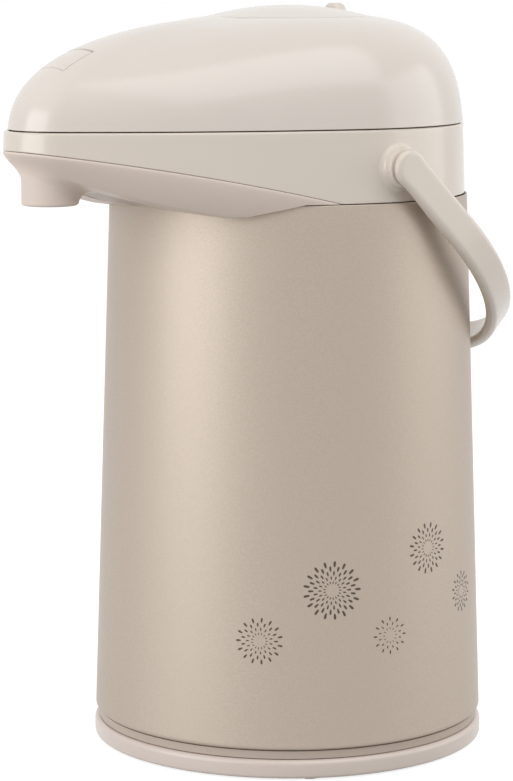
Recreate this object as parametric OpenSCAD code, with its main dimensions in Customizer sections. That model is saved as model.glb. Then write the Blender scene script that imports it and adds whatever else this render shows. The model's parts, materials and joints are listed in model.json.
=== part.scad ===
// Air pot with a glass vacuum liner, a push-plate pump in the hinged lid, a spout in the nose,
// a swing-over carrying handle and a turning base. Millimetres, +Z up, the spout points along -Y,
// the handle turns on the +X and -X sides, the base stands on z = 0 and the body axis is the Z axis.

/* [Body] */
// outer radius of the metal case at its lower edge
case_r_bottom = 89; // [86:0.5:93]
// outer radius of the metal case at its upper edge
case_r_top = 81; // [78:0.5:84]
// height of the upper edge of the metal case
case_top_z = 250.6; // [230:1:280]
// height of the lower edge of the metal case
case_low_z = 13; // [12:0.5:16]
// thickness of the case sheet
case_wall = 0.8; // [0.5:0.1:1.2]

/* [Base] */
// outer radius of the turning base ring
ring_r = 89.4; // [86:0.2:93]
// height of the top edge of the turning base ring
ring_top_z = 9.2; // [8:0.2:9.6]
// radius of the pivot stub under the bottom cover
stub_r = 15.6; // [12:0.2:20]
// radius of one anti-slip foot
foot_r = 6; // [4:0.5:7]
// number of anti-slip feet
foot_count = 6; // [4:1:10]

/* [Head] */
// radius of the round rear part of the shoulder
head_r = 79.2; // [78.6:0.1:79.8]
// distance of the nose centre from the body axis
nose_reach = 118.7; // [114:0.5:124]
// radius of the nose of the shoulder in plan
nose_r = 27.3; // [26:0.1:30]
// radius of the long curve of the flanks in plan
flank_r = 320; // [260:10:500]
// height of the shoulder between the case and the lid
shoulder_h = 31.8; // [30:0.2:36]
// wall thickness of the shoulder
shoulder_wall = 2.4; // [1.8:0.1:2.6]
// slope of the seam between the shoulder and the spout panel at its rear end, in degrees
seam_slope = 14; // [12.5:0.1:14.5]

/* [Spout] */
// slope of the underside of the nose where it leaves the case, in degrees
under_slope = 10; // [9:0.1:10.6]
// depth of the underside below the case edge, where it leaves the case
under_drop = 6.9; // [6.2:0.1:7.4]
// outer radius of the nozzle at its mouth
nozzle_r = 12.2; // [11:0.1:13]
// wall thickness of the nozzle
nozzle_wall = 2.2; // [1.6:0.1:3]
// outer radius of the spout pipe
pipe_r = 5.4; // [5:0.1:5.6]
// wall thickness of the spout pipe
pipe_wall = 1.2; // [0.8:0.1:1.3]

/* [Lid] */
// height of the lid above its seam, at the middle
lid_h = 48.3; // [46:0.1:54]
// radius of the round rear part of the lid at the seam
lid_r = 79; // [77:0.1:79.6]
// radius of the nose of the lid in plan
lid_nose_r = 25.4; // [24:0.1:27]
// roundness of the lid rim at the rear, larger is squarer
rear_round = 4; // [3:0.1:4.4]
// roundness of the lid over the nose, larger is squarer
nose_round = 2.37; // [2.1:0.01:2.6]
// wall thickness of the lid cover
lid_wall = 2.2; // [1.8:0.1:2.4]
// radius of the hinge knuckles
knuckle_r = 4; // [3.6:0.1:4.2]
// radius of the hinge pin
hinge_pin_r = 1.8; // [1.5:0.1:2.2]

/* [Pump] */
// radius of the push plate
plate_r = 37.3; // [34:0.1:38]
// rise of the push plate dome from rim to middle
plate_rise = 5.2; // [3:0.1:6]
// travel of the push plate
stroke = 20; // [16:0.5:20]
// outer radius of the bellows
bellows_r = 33; // [30:0.5:33.5]
// number of bellows folds
folds = 5; // [4:1:6]
// wall thickness of the bellows
bellows_wall = 1; // [0.8:0.1:1.2]
// mean radius of the return spring
spring_r = 20.6; // [19:0.1:21]
// wire radius of the return spring
spring_wire = 0.8; // [0.6:0.05:0.9]
// number of turns of the return spring
spring_turns = 6; // [5:1:8]

/* [Liner] */
// outer radius of the inner glass
glass_in_r = 61; // [56:0.5:63]
// outer radius of the outer glass
glass_out_r = 70; // [68:0.5:74]
// wall thickness of the glass
glass_wall = 1.8; // [1.4:0.1:2.2]
// bore radius of the glass neck
neck_r = 24; // [23:0.2:24.4]
// outer radius of the siphon tube
siphon_r = 5; // [4.5:0.1:5.5]
// wall thickness of the siphon tube
siphon_wall = 0.8; // [0.5:0.1:1]

/* [Handle] */
// outer distance of the handle arms from the middle
handle_x = 89; // [88.8:0.1:92]
// thickness of the handle band
handle_t = 5.8; // [5:0.1:5.9]
// width of the handle band at the grip
handle_w = 15.2; // [12:0.2:15.4]
// radius of the handle hubs
hub_r = 8; // [7.7:0.1:8.6]
// length of the straight handle arms
arm_len = 40.6; // [40.6:0.2:46]
// angle of the hanging handle below level, in degrees
handle_drop = 43.6; // [30:0.2:43.6]
// height of the handle pivots above the case edge
pivot_h = 15.2; // [13:0.1:15.4]

/* [Hidden] */
// running gap between moving pieces
gap = 0.3;
// outer radius of the visible edge of the bottom cover
cover_r = case_r_bottom - 1.6;
// distance of the nozzle from the body axis
nozzle_y = nose_reach + 8.9;
// tiny step that makes cutting bodies reach through
eps = 0.01;
// large size for cutting bodies
big = 400;
// segments of round pieces that are joined to curved shells
seg = 48;
// height of the seam between shoulder and lid
lid_z = case_top_z + shoulder_h;
// visible half gap at the lid seam
lid_gap = 0.4;
// height of the handle pivots
pivot_z = case_top_z + pivot_h;
// start of the sloping seam, measured from the body axis
seam_y = -26.5;
// bow of the sloping seam, per millimetre of distance squared
seam_bow = 0.00045;
// start of the rising underside, measured from the body axis
under_y = -61.6;
// bow of the underside, per millimetre of distance squared
under_bow = 0.00136;
// window of the pipe channel, measured from the body axis along the underside
window_front = 7.7 - nose_reach;
window_rear = 31.7 - nose_reach;
// outer face of the round pivot bosses of the shoulder, measured from the middle
boss_x = 84.6;
// half gap at the sloping seam
seam_gap = 0.15;
// nose centre of the lid outline
lid_reach = nose_reach;
// step of the outline in degrees
plan_step = 5;
// step of the lid section in degrees
lid_step = 7.5;
// how fast the lid section changes from rear to nose
nose_blend = 3;
// vertical roundness of the lid at the rear
rear_lift = 2.92;
// vertical roundness of the lid over the nose
nose_lift = 2.48;
// inward lean of the lid over its height at the rear, as a share of its radius
rear_lean = 0.063;
// inward lean of the lid over its height at the nose
nose_lean = 0.044;

// deck and collar heights, measured from the lid seam
deck_low = lid_z - 6.8;
deck_top = lid_z - 4.8;
collar_top = lid_z - 2.4;
collar_low = lid_z - 18.9;
rim_z = lid_z - 20.4;
pipe_z = lid_z - 12.5;
base_low = lid_z + 0.8;
base_top = lid_z + 3.1;
seat_top = lid_z + 5.6;
plunger_z = lid_z + 34.6;
plate_top = lid_z + lid_h + 4;
plate_edge = plate_top - plate_rise;
hinge_y = 84.6;
hinge_z = lid_z + 0.6;

// all pieces, outside first
// the piece to draw

// shared shapes

// one point of the head outline: a is the direction the outline faces, off moves it inwards
function plan_pt(a, hr, nr, nc, off) =
    let (fy = (pow(flank_r - nr, 2) - pow(flank_r - hr, 2) - nc * nc) / (2 * nc))
    let (fx = sqrt(pow(flank_r - hr, 2) - fy * fy))
    let (b = asin(sin(a)))
    let (side = cos(a) < 0 ? -1 : 1)
    let (nose = [0, -nc, nr])
    let (flank = [-fx, fy, flank_r])
    let (q = b >= atan2(-fy, fx) ? [0, 0, hr] : b >= atan2(-nc - fy, fx) ? flank : nose)
    [side * (q[0] + (q[2] - off) * cos(b)), q[1] + (q[2] - off) * sin(b)];

// closed outline of the head
function plan(hr, nr, nc, off) = [for (a = [0 : plan_step : 360 - plan_step]) plan_pt(a, hr, nr, nc, off)];

// share of nose shape at one outline point, 0 at the rear and 1 at the tip
function nose_part(p, hr, tip) = 1 - pow(1 - max(0, min(1, (norm(p) - hr) / (tip - hr))), nose_blend);

// height of the sloping seam at a distance along y
function seam_at(y) = case_top_z + (seam_y - y) * tan(seam_slope) - seam_bow * pow(seam_y - y, 2);

// height of the rising underside at a distance along y
function under_at(y) =
    case_top_z - under_drop + (under_y - y) * tan(under_slope) + under_bow * pow(under_y - y, 2);

// two triangles between neighbouring points i and j of ring k and of the next ring, n points per ring
function pair_faces(n, k, i, j) =
    [[k * n + i, (k + 1) * n + i, (k + 1) * n + j], [k * n + i, (k + 1) * n + j, k * n + j]];

// faces between m rings of n points each
function band_faces(n, m) = [
    for (half = [0, 1])
        for (k = [0 : m - 2])
            for (i = [0 : n - 1])
                pair_faces(n, k, i, (i + 1) % n)[half]];

// faces of a body made of rings: n points per ring, m rings, flat caps at both ends
function ring_faces(n, m) = concat(
    [[for (i = [0 : n - 1]) i]],
    band_faces(n, m),
    [[for (i = [n - 1 : -1 : 0]) (m - 1) * n + i]]);

// inward lean of the shoulder wall over its height, as [height, inward offset]
head_draft = [[case_top_z + 0.5, -0.8], [case_top_z + shoulder_h * 0.6, -0.2], [lid_z - lid_gap, 0.3]];

// body of the head between levels, each level is [height, inward offset]
module head_stack(levels) {
    outline = plan(head_r, nose_r, nose_reach, 0);
    n = len(outline);
    pts = [for (l = levels) for (p = plan(head_r, nose_r, nose_reach, l[1])) [p[0], p[1], l[0]]];
    polyhedron(pts, ring_faces(n, len(levels)), convexity = 6);
}

// upright body of the head between two levels, in from the outline by off
module head_prism(low, top, off) {
    translate([0, 0, low])
        linear_extrude(height = top - low)
            polygon(plan(head_r, nose_r, nose_reach, off));
}

// domed body of the lid, off is the inward offset from the outside
module lid_dome(off, low) {
    foot = plan(lid_r, lid_nose_r, lid_reach, off);
    n = len(foot);
    top = lid_h - off;
    tip = lid_reach + lid_nose_r - off;
    turns = concat([88], [for (t = [90 - lid_step : -lid_step : lid_step]) t]);
    rings = concat(
        [for (p = foot) [p[0], p[1], low]],
        [for (t = turns) for (p = foot)
            let (w = nose_part(p, lid_r - off, tip))
            let (e = pow(sin(t), 2 / (rear_round + (nose_round - rear_round) * w)))
            let (h = pow(cos(t), 2 / (rear_lift + (nose_lift - rear_lift) * w)))
            let (k = e * (1 - (rear_lean + (nose_lean - rear_lean) * w) * h))
            [p[0] * k, p[1] * k, lid_z + max(0, top * h)]]);
    m = len(turns) + 1;
    faces = concat(
        [[for (i = [0 : n - 1]) i]],
        band_faces(n, m),
        [for (i = [0 : n - 1]) [(m - 1) * n + i, m * n, (m - 1) * n + (i + 1) % n]]);
    polyhedron(concat(rings, [[0, 0, lid_z + top]]), faces, convexity = 6);
}

// distances along y at which the bowed seam is divided into flat facets
seam_steps = [-170, -140.9, -120, -99, -80, -62, -44, seam_y, 20];
// distances along y at which the bowed underside is divided into flat facets
under_steps = [
    -170, window_front - 37, window_front - 28.3, window_front - 19.4, window_front - 10.6,
    window_front - 1.6, window_rear + 1.6, window_rear + 15, window_rear + 29, window_rear + 47, 20];

// side view of a bowed surface, closed at a height and drawn through the whole width
module bowed(line, height) {
    translate([-big / 2, 0, 0])
        rotate([90, 0, 90])
            linear_extrude(height = big)
                polygon(concat([[120, line[len(line) - 1][1]], [120, height], [-170, height]], line));
}

// body below the sloping seam, moved up by shift
module below_seam(shift) {
    bowed([for (y = seam_steps) [y, seam_at(y) + shift]], case_top_z - 40);
}

// body above the sloping seam, moved up by shift
module above_seam(shift) {
    bowed([for (y = seam_steps) [y, seam_at(y) + shift]], case_top_z + 60);
}

// body below the rising underside, moved up by shift
module below_under(shift) {
    bowed([for (y = under_steps) [y, under_at(y) + shift]], case_top_z - 80);
}

// body above the rising underside, moved up by shift
module above_under(shift) {
    bowed([for (y = under_steps) [y, under_at(y) + shift]], case_top_z + 60);
}

// ring with square edges
module ring(r_out, r_in, z0, z1) {
    translate([0, 0, z0])
        difference() {
            cylinder(r = r_out, h = z1 - z0, $fn = 96);
            translate([0, 0, -1])
                cylinder(r = r_in, h = z1 - z0 + 2, $fn = 96);
        }
}

// round-headed screw pointing up from its head, with a slot across the head
module screw(head_r, head_h, shank_r, shank_l) {
    slot_w = head_r / 3;
    difference() {
        cylinder(r = head_r, h = head_h, $fn = 24);
        translate([-head_r, -slot_w / 2, -eps])
            cube([2 * head_r, slot_w, head_h / 2]);
    }
    translate([0, 0, head_h - eps])
        cylinder(r = shank_r, h = shank_l + eps, $fn = 24);
}

// outer radius of the case at a height
function case_r(z) =
    case_r_bottom + (case_r_top - case_r_bottom) * (z - case_low_z) / (case_top_z - case_low_z);

// body and base

// tapered metal case with a turned-in lower hem
module outer_case() {
    hem = 5;
    step = 2.5;
    color([0.75, 0.70, 0.63])
        rotate_extrude($fn = 180)
            polygon([
                [cover_r + 0.4, case_low_z],
                [case_r_bottom - 0.3, case_low_z + 0.4],
                [case_r(case_low_z + step), case_low_z + step],
                [case_r_top, case_top_z],
                [case_r_top - case_wall, case_top_z],
                [case_r(case_low_z + step) - case_wall, case_low_z + step],
                [case_r_bottom - 0.3 - case_wall, case_low_z + 0.4 + case_wall],
                [cover_r - hem, case_low_z + case_wall],
                [cover_r - hem, case_low_z]]);
}

// steel ring inside the hem that takes the cover screws
module bottom_ring() {
    color([0.6, 0.6, 0.62])
        difference() {
            translate([0, 0, case_low_z + case_wall + 0.1])
                ring(cover_r - 4, cover_screw_r - 8, 0, 2);
            for (k = [0 : 2])
                rotate([0, 0, 120 * k + 30])
                    translate([cover_screw_r, 0, case_low_z])
                        cylinder(r = 1.6, h = 6, $fn = 24);
        }
}

// distance of the bottom cover screws from the axis
cover_screw_r = cover_r - 11.4;

// plastic cover under the case with the pivot stub for the turntable
module bottom_cover() {
    low = ring_top_z + 0.4;
    color([0.80, 0.74, 0.69])
        difference() {
            union() {
                translate([0, 0, low])
                    cylinder(r = cover_r, h = case_low_z - low, $fn = 180);
                translate([0, 0, 3.4])
                    cylinder(r = stub_r, h = low - 3.4 + eps, $fn = 96);
            }
            translate([0, 0, 11.4])
                cylinder(r = 60, h = 10, $fn = 96);
            translate([0, 0, -1])
                cylinder(r = 2.6, h = 20, $fn = 24);
            for (k = [0 : 2])
                rotate([0, 0, 120 * k + 30]) {
                    translate([cover_screw_r, 0, 0])
                        cylinder(r = 1.8, h = 20, $fn = 24);
                    translate([cover_screw_r, 0, 0])
                        cylinder(r = 3.6, h = low + 1.8, $fn = 24);
                }
        }
}

// three screws through the bottom cover
module bottom_screws() {
    low = ring_top_z + 0.4;
    color([0.55, 0.55, 0.57])
        for (k = [0 : 2])
            rotate([0, 0, 120 * k + 30])
                translate([cover_screw_r, 0, low + 0.2])
                    screw(3.3, 1.6, 1.5, 6);
}

// turning ring that the pot stands on
module turntable_ring() {
    low = 1;
    edge = 1.2;
    color([0.83, 0.78, 0.75])
        union() {
            rotate_extrude($fn = 180)
                polygon([
                    [ring_r - edge, low],
                    [ring_r, low + edge],
                    [ring_r, ring_top_z - edge],
                    [ring_r - edge, ring_top_z],
                    [ring_r - 5, ring_top_z],
                    [ring_r - 5, 5.5],
                    [stub_r + 4.4, 5.5],
                    [stub_r + 4.4, 8.6],
                    [stub_r + gap, 8.6],
                    [stub_r + gap, 3.6],
                    [72, 3.6],
                    [72, low]]);
            for (k = [0 : 11])
                rotate([0, 0, 30 * k])
                    translate([25, -1, 2.2])
                        cube([72 - 24.5, 2, 2]);
        }
}

// washer that keeps the turntable on its stub
module turntable_retainer() {
    color([0.62, 0.62, 0.64])
        ring(stub_r + 2.4, 2, 2.4, 3.3);
}

// screw of the turntable retainer
module retainer_screw() {
    color([0.55, 0.55, 0.57])
        translate([0, 0, 1])
            screw(4, 1.4, 1.9, 7);
}

// snap-in cap under the middle of the turntable, level with the feet
module hub_cap() {
    color([0.83, 0.78, 0.75])
        difference() {
            cylinder(r = 24, h = 3.6, $fn = 96);
            translate([0, 0, 0.8])
                cylinder(r = 22, h = 4, $fn = 96);
        }
}

// anti-slip feet under the turntable ring
module feet() {
    color([0.25, 0.25, 0.26])
        for (k = [0 : foot_count - 1])
            rotate([0, 0, 360 / foot_count * (k + 0.5)])
                translate([80, 0, 0])
                    cylinder(r = foot_r, h = 1, $fn = 48);
}

// head shell

// shoulder between the case and the lid, its nose part cut along the sloping seam
module shoulder_housing() {
    low = case_top_z + 0.5;
    top = lid_z - lid_gap;
    ledge = 3.2;
    color([0.84, 0.79, 0.74])
        difference() {
            union() {
                difference() {
                    head_stack(concat(head_draft, [[top + 2, 0.3]]));
                    translate([-big / 2, -big / 2, top])
                        cube([big, big, 20]);
                    head_prism(low - 1, top + 1, shoulder_wall);
                    below_seam(seam_gap);
                }
                intersection() {
                    difference() {
                        head_prism(deck_low - 2.4, deck_low, 1);
                        head_prism(deck_low - 4, deck_low + 1, shoulder_wall + ledge);
                    }
                    translate([-big / 2, -108, 0])
                        cube([big, big, big]);
                }
                difference() {
                    translate([0, 0, case_top_z - 7])
                        cylinder(r = case_r_top - case_wall - 0.6, h = 7.6, $fn = 96);
                    translate([0, 0, case_top_z - 8])
                        cylinder(r = case_r_top - case_wall - 2.8, h = 10, $fn = 96);
                }
                for (s = [-1, 1])
                    translate([s * (head_r - 3.6), 0, pivot_z])
                        rotate([0, s * 90, 0])
                            cylinder(r = hub_r + 0.6, h = boss_x - head_r + 3.6, $fn = seg);
            }
            for (s = [-1, 1])
                translate([s * (head_r - 8), 0, pivot_z])
                    rotate([0, s * 90, 0])
                        cylinder(r = 5.3, h = 20, $fn = seg);
            for (s = [-1, 1])
                translate([s * 10.4, head_r - 6, pivot_z + 4])
                    rotate([-90, 0, 0])
                        cylinder(r = 1.6, h = 12, $fn = 20);
            deck_screw_holes();
        }
}

// body of the spout panel with a flat top and bottom
// it lies in from the outside by off, flush with the shoulder wall
module panel_body(off, top) {
    depth = 9;
    bulge = 1.5;
    steps = 6;
    turns = [for (a = [0 : plan_step : 360 - plan_step]) a];
    lean = [for (a = turns)
        let (p = plan_pt(a, head_r, nose_r, nose_reach, off))
        off + lookup(seam_at(p[1]), head_draft)];
    n = len(turns);
    pts = concat(
        [for (i = [0 : n - 1])
            let (p = plan_pt(turns[i], head_r, nose_r, nose_reach, lean[i]))
            [p[0], p[1], top]],
        [for (k = [0 : steps])
            let (c = 1 - pow(cos(90 * k / steps), bulge))
            let (s = pow(sin(90 * k / steps), bulge))
            for (i = [0 : n - 1])
                let (q = plan_pt(turns[i], head_r, nose_r, nose_reach, lean[i] + depth * c))
                [q[0], q[1], (seam_at(q[1]) - 1) * (1 - s) + (under_at(q[1]) + off - 0.6) * s]],
        [for (i = [0 : n - 1])
            let (q = plan_pt(turns[i], head_r, nose_r, nose_reach, lean[i] + depth + 1))
            [q[0], q[1], case_top_z - 60]]);
    faces = [for (f = ring_faces(n, steps + 3)) [for (i = [len(f) - 1 : -1 : 0]) f[i]]];
    polyhedron(pts, faces, convexity = 6);
}

// panel under the nose with the nozzle
module spout_panel() {
    top = case_top_z + 28;
    color([0.82, 0.76, 0.71])
        difference() {
            union() {
                difference() {
                    panel_body(0, top);
                    below_under(0);
                    difference() {
                        panel_body(shoulder_wall, top + 1);
                        below_under(shoulder_wall);
                    }
                }
                difference() {
                    translate([0, -nozzle_y, nozzle_low])
                        cylinder(r1 = nozzle_r, r2 = nozzle_r + 0.9, h = 20, $fn = 50);
                    above_under(shoulder_wall - 0.4);
                }
            }
            above_seam(-seam_gap);
            below_skirt();
            translate([0, 0, case_top_z - 20])
                cylinder(r = case_r_top + 0.35, h = 20.1, $fn = 120);
            translate([0, 0, case_top_z - 1])
                cylinder(r = head_r + 0.5, h = 60, $fn = 120);
            translate([0, -nozzle_y, nozzle_low - 1])
                cylinder(r = nozzle_r - nozzle_wall, h = 22, $fn = 50);
            at_window()
                translate([0, 0, -5])
                    linear_extrude(height = 12)
                        window_shape(0);
        }
}

// height of the nozzle mouth
nozzle_low = case_top_z - 0.2;

// body below the lower edge of the panel, which hangs over the case and runs out in a ramp
module below_skirt() {
    skirt_z = case_top_z - 4.8;
    translate([-big / 2, 0, 0])
        rotate([90, 0, 90])
            linear_extrude(height = big)
                polygon([
                    [-120, skirt_z - 50], [100, skirt_z - 50], [100, case_top_z + 0.3],
                    [-43, case_top_z + 0.3], [-64.2, skirt_z], [-120, skirt_z]]);
}

// outline of the window in the underside, grown by more, in the plane of the underside
module window_shape(more) {
    wide = 20;
    narrow = 12;
    long = 24.5;
    polygon([
        [-narrow - more, -more],
        [narrow + more, -more],
        [wide + more, long + more],
        [-wide - more, long + more]]);
}

// frame in the flat facet of the underside that holds the window, at the front edge of the window
module at_window() {
    y0 = window_front - 1.6;
    y1 = window_rear + 1.6;
    fall = (under_at(y0) - under_at(y1)) / (y1 - y0);
    translate([0, window_front, under_at(y0) - fall * (window_front - y0)])
        rotate([-atan(fall), 0, 0])
            children();
}

// plate that closes the pipe channel under the nose, flush with the underside
module spout_bottom_plate() {
    lip = 2;
    color([0.78, 0.72, 0.67])
        at_window()
            union() {
                linear_extrude(height = shoulder_wall + 0.4)
                    window_shape(-0.25);
                translate([0, 0, shoulder_wall + 0.3])
                    linear_extrude(height = 1.2)
                        window_shape(lip);
            }
}

// deck

// deck inside the shoulder, around the mouth, with the latch keeper
module top_deck() {
    keeper_y = latch_y - 4.6;
    color([0.80, 0.75, 0.70])
        difference() {
            union() {
                translate([0, 0, deck_low])
                    linear_extrude(height = deck_top - deck_low)
                        polygon(plan(head_r, nose_r, nose_reach, shoulder_wall + 0.5));
                translate([-7, keeper_y + 1.8, deck_top - eps])
                    cube([14, 2.4, 4 + eps]);
                translate([-7, keeper_y, deck_top + 2.5])
                    cube([14, 4.2, 1.5]);
            }
            translate([0, 0, deck_low - 1])
                cylinder(r = 36.4, h = 6, $fn = 96);
            deck_holes(1.7, 3);
            deck_screw_holes();
        }
}

// three holes through the deck over the collar flange
module deck_holes(r, count) {
    for (k = [0 : count - 1])
        rotate([0, 0, 360 / count * k + 90])
            translate([39.4, 0, deck_low - 8])
                cylinder(r = r, h = 20, $fn = 24);
}

// places of the deck screws near the shoulder wall
module at_deck_screws() {
    for (a = [25, 90, 155])
        rotate([0, 0, a])
            translate([head_r - shoulder_wall - 2.6, 0, deck_top])
                children();
}

// holes of the deck screws through the deck and the ledge
module deck_screw_holes() {
    at_deck_screws()
        translate([0, 0, -6])
            cylinder(r = 1.05, h = 8, $fn = 24);
}

// screws that hold the deck to the ledge of the shoulder
module deck_screws() {
    color([0.55, 0.55, 0.57])
        at_deck_screws()
            translate([0, 0, 1.3])
                rotate([180, 0, 0])
                    screw(1.9, 1.3, 1, 3.8);
}

// mouth and liner

// collar over the glass neck, with a flange under the deck and a hole for the elbow
module mouth_collar() {
    wall_in = 33;
    wall_out = 36;
    color([0.78, 0.73, 0.68])
        difference() {
            rotate_extrude($fn = 120)
                polygon([
                    [neck_r + 0.6, collar_low],
                    [wall_out, collar_low],
                    [wall_out, deck_low - 2.6],
                    [wall_out + 7, deck_low - 2.6],
                    [wall_out + 7, deck_low],
                    [wall_out, deck_low],
                    [wall_out, collar_top],
                    [wall_in, collar_top],
                    [wall_in, collar_low + 2],
                    [neck_r + 0.6, collar_low + 2]]);
            translate([0, -wall_in + 3, pipe_z])
                rotate([90, 0, 0])
                    cylinder(r = 5.3, h = 14, $fn = 48);
            for (k = [0 : 2])
                rotate([0, 0, 120 * k + 90])
                    translate([39.4, 0, deck_low - 4])
                        cylinder(r = 1.6, h = 6, $fn = 24);
        }
}

// screws through the deck into the collar flange
module collar_screws() {
    color([0.55, 0.55, 0.57])
        for (k = [0 : 2])
            rotate([0, 0, 120 * k + 90])
                translate([39.4, 0, deck_top + 1.3])
                    rotate([180, 0, 0])
                        screw(2.7, 1.3, 1.5, 4.4);
}

// rubber ring between the glass rim and the collar
module neck_gasket() {
    color([0.9, 0.9, 0.88])
        ring(neck_r + 5.6, neck_r + 0.6, rim_z, collar_low);
}

// outline of a bottle in section, from the axis at the bottom to the axis at the neck
function bottle(r, foot_z, foot, low_z, high_z, neck, neck_z, top) = concat(
    [[0, foot_z]],
    [for (t = [0 : 18 : 90]) [foot + (r - foot) * sin(t), foot_z + (low_z - foot_z) * (1 - cos(t))]],
    [for (t = [0 : 15 : 90]) [neck + (r - neck) * cos(t), high_z + (neck_z - high_z) * sin(t)]],
    [[neck, top], [0, top]]);

// inner glass of the vacuum liner
module glass_inner() {
    low = 29;
    high = case_top_z - 42;
    shoulder_z = rim_z - 19;
    bore = neck_r;
    color([0.80, 0.88, 0.90])
        rotate_extrude($fn = 120)
            difference() {
                polygon(bottle(glass_in_r, low, 24, low + 24, high, bore + glass_wall, shoulder_z, rim_z));
                polygon(bottle(glass_in_r - glass_wall, low + glass_wall, 24, low + 24, high, bore,
                    shoulder_z - glass_wall, rim_z + 1));
            }
}

// outer glass of the vacuum liner, joined to the inner glass at the rim
module glass_outer() {
    low = 22;
    high = case_top_z - 34;
    shoulder_z = rim_z - 13;
    bore = neck_r + 4.4;
    bridge = 2;
    color([0.70, 0.78, 0.82])
        rotate_extrude($fn = 120)
            union() {
                difference() {
                    polygon(bottle(glass_out_r, low, 40, low + 30, high, bore + 1.6, shoulder_z, rim_z));
                    polygon(bottle(glass_out_r - glass_wall, low + glass_wall, 40, low + 30, high, bore,
                        shoulder_z - glass_wall, rim_z + 1));
                }
                translate([neck_r + glass_wall, rim_z - bridge])
                    square([bore - neck_r - glass_wall + 0.4, bridge]);
            }
}

// rubber ring that carries the glass
module liner_cushion() {
    color([0.22, 0.22, 0.23])
        ring(38, 24, 11.4, 22);
}

// cap over the sealing tip of the glass
module tip_cap() {
    color([0.3, 0.3, 0.31])
        difference() {
            translate([0, 0, 14])
                cylinder(r1 = 5, r2 = 8, h = 8, $fn = 48);
            translate([0, 0, 16])
                cylinder(r1 = 1.5, r2 = 4, h = 7, $fn = 48);
        }
}

// plug in the mouth: a ventilated disc with the elbow that leads to the spout
module tube_holder() {
    disc_r = 32.6;
    arm = 43;
    color([0.86, 0.82, 0.78])
        difference() {
            union() {
                translate([0, 0, collar_low + 2])
                    cylinder(r = disc_r, h = 1.6, $fn = 96);
                translate([0, 0, rim_z - 4.6])
                    cylinder(r = 4, h = pipe_z - rim_z + 4.6, $fn = 48);
                translate([0, 0, collar_low + 2])
                    cylinder(r = 7, h = pipe_z - collar_low - 2, $fn = 48);
                translate([0, 0, pipe_z])
                    sphere(r = 4, $fn = 48);
                translate([0, 0, pipe_z])
                    rotate([90, 0, 0])
                        cylinder(r = 4, h = arm, $fn = 48);
            }
            translate([0, 0, rim_z - 6])
                cylinder(r = 2.8, h = pipe_z - rim_z + 6, $fn = 48);
            translate([0, 0, pipe_z])
                sphere(r = 2.8, $fn = 48);
            translate([0, 0, pipe_z])
                rotate([90, 0, 0])
                    cylinder(r = 2.8, h = arm + 1, $fn = 48);
            for (k = [0 : 4])
                rotate([0, 0, 72 * k + 90 + 36 * 0])
                    translate([17, 0, collar_low])
                        cylinder(r = 4.5, h = 6, $fn = 48);
        }
}

// rubber sleeve where the elbow plugs into the spout pipe
module elbow_seal() {
    color([0.25, 0.25, 0.26])
        translate([0, -37.4, pipe_z])
            rotate([90, 0, 0])
                difference() {
                    cylinder(r = 5.1, h = 2.6, $fn = 48);
                    translate([0, 0, -1])
                        cylinder(r = 4, h = 5, $fn = 48);
                }
}

// pipe from the elbow to the nozzle
module spout_pipe() {
    start = -40;
    bend = 9;
    bore = pipe_r - pipe_wall;
    end = nozzle_low + 1.5;
    color([0.88, 0.85, 0.82])
        difference() {
            union() {
                translate([0, start, pipe_z])
                    rotate([90, 0, 0])
                        cylinder(r = pipe_r, h = nozzle_y - bend + start, $fn = 48);
                translate([0, -nozzle_y + bend, pipe_z - bend])
                    rotate([0, -90, 0])
                        rotate([0, 0, 0])
                            rotate([0, 0, -90])
                                rotate_extrude(angle = 90, $fn = 48)
                                    translate([bend, 0])
                                        circle(r = pipe_r, $fn = 48);
                translate([0, -nozzle_y, end])
                    cylinder(r = pipe_r, h = pipe_z - bend - end, $fn = 48);
            }
            translate([0, start + 1, pipe_z])
                rotate([90, 0, 0])
                    cylinder(r = bore, h = nozzle_y - bend + start + 1, $fn = 48);
            translate([0, -nozzle_y + bend, pipe_z - bend])
                rotate([0, -90, 0])
                    rotate([0, 0, -90])
                        rotate_extrude(angle = 90, $fn = 48)
                            translate([bend, 0])
                                circle(r = bore, $fn = 48);
            translate([0, -nozzle_y, end - 1])
                cylinder(r = bore, h = pipe_z - bend - end + 1, $fn = 48);
        }
}

// tube from the bottom of the liner to the valve cage
module siphon_tube() {
    color([0.82, 0.82, 0.80])
        ring(siphon_r, siphon_r - siphon_wall, 36, cage_low + 4);
}

// height of the lower end of the valve cage
cage_low = rim_z - 26;

// slotted foot at the lower end of the siphon tube
module tube_foot() {
    color([0.86, 0.82, 0.78])
        difference() {
            ring(siphon_r + 1.6, siphon_r, 32, 44);
            for (k = [0 : 1])
                rotate([0, 0, 90 * k])
                    translate([-10, -1.2, 31])
                        cube([20, 2.4, 4.5]);
        }
}

// cage of the tip-over ball, between the siphon tube and the elbow
module valve_cage() {
    color([0.84, 0.86, 0.88])
        rotate_extrude($fn = 96)
            polygon([
                [siphon_r, cage_low],
                [8.6, cage_low],
                [8.6, cage_low + 22],
                [4, cage_low + 22],
                [4, cage_low + 18],
                [6.4, cage_low + 16],
                [6.4, cage_low + 5.2],
                [siphon_r - 0.9, cage_low + 4],
                [siphon_r, cage_low + 4]]);
}

// ball that shuts the elbow when the pot tips over
module stop_ball() {
    color([0.75, 0.75, 0.77])
        translate([0, 0, cage_low + 8.1])
            sphere(r = 5.2, $fn = 48);
}

// hinge

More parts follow.
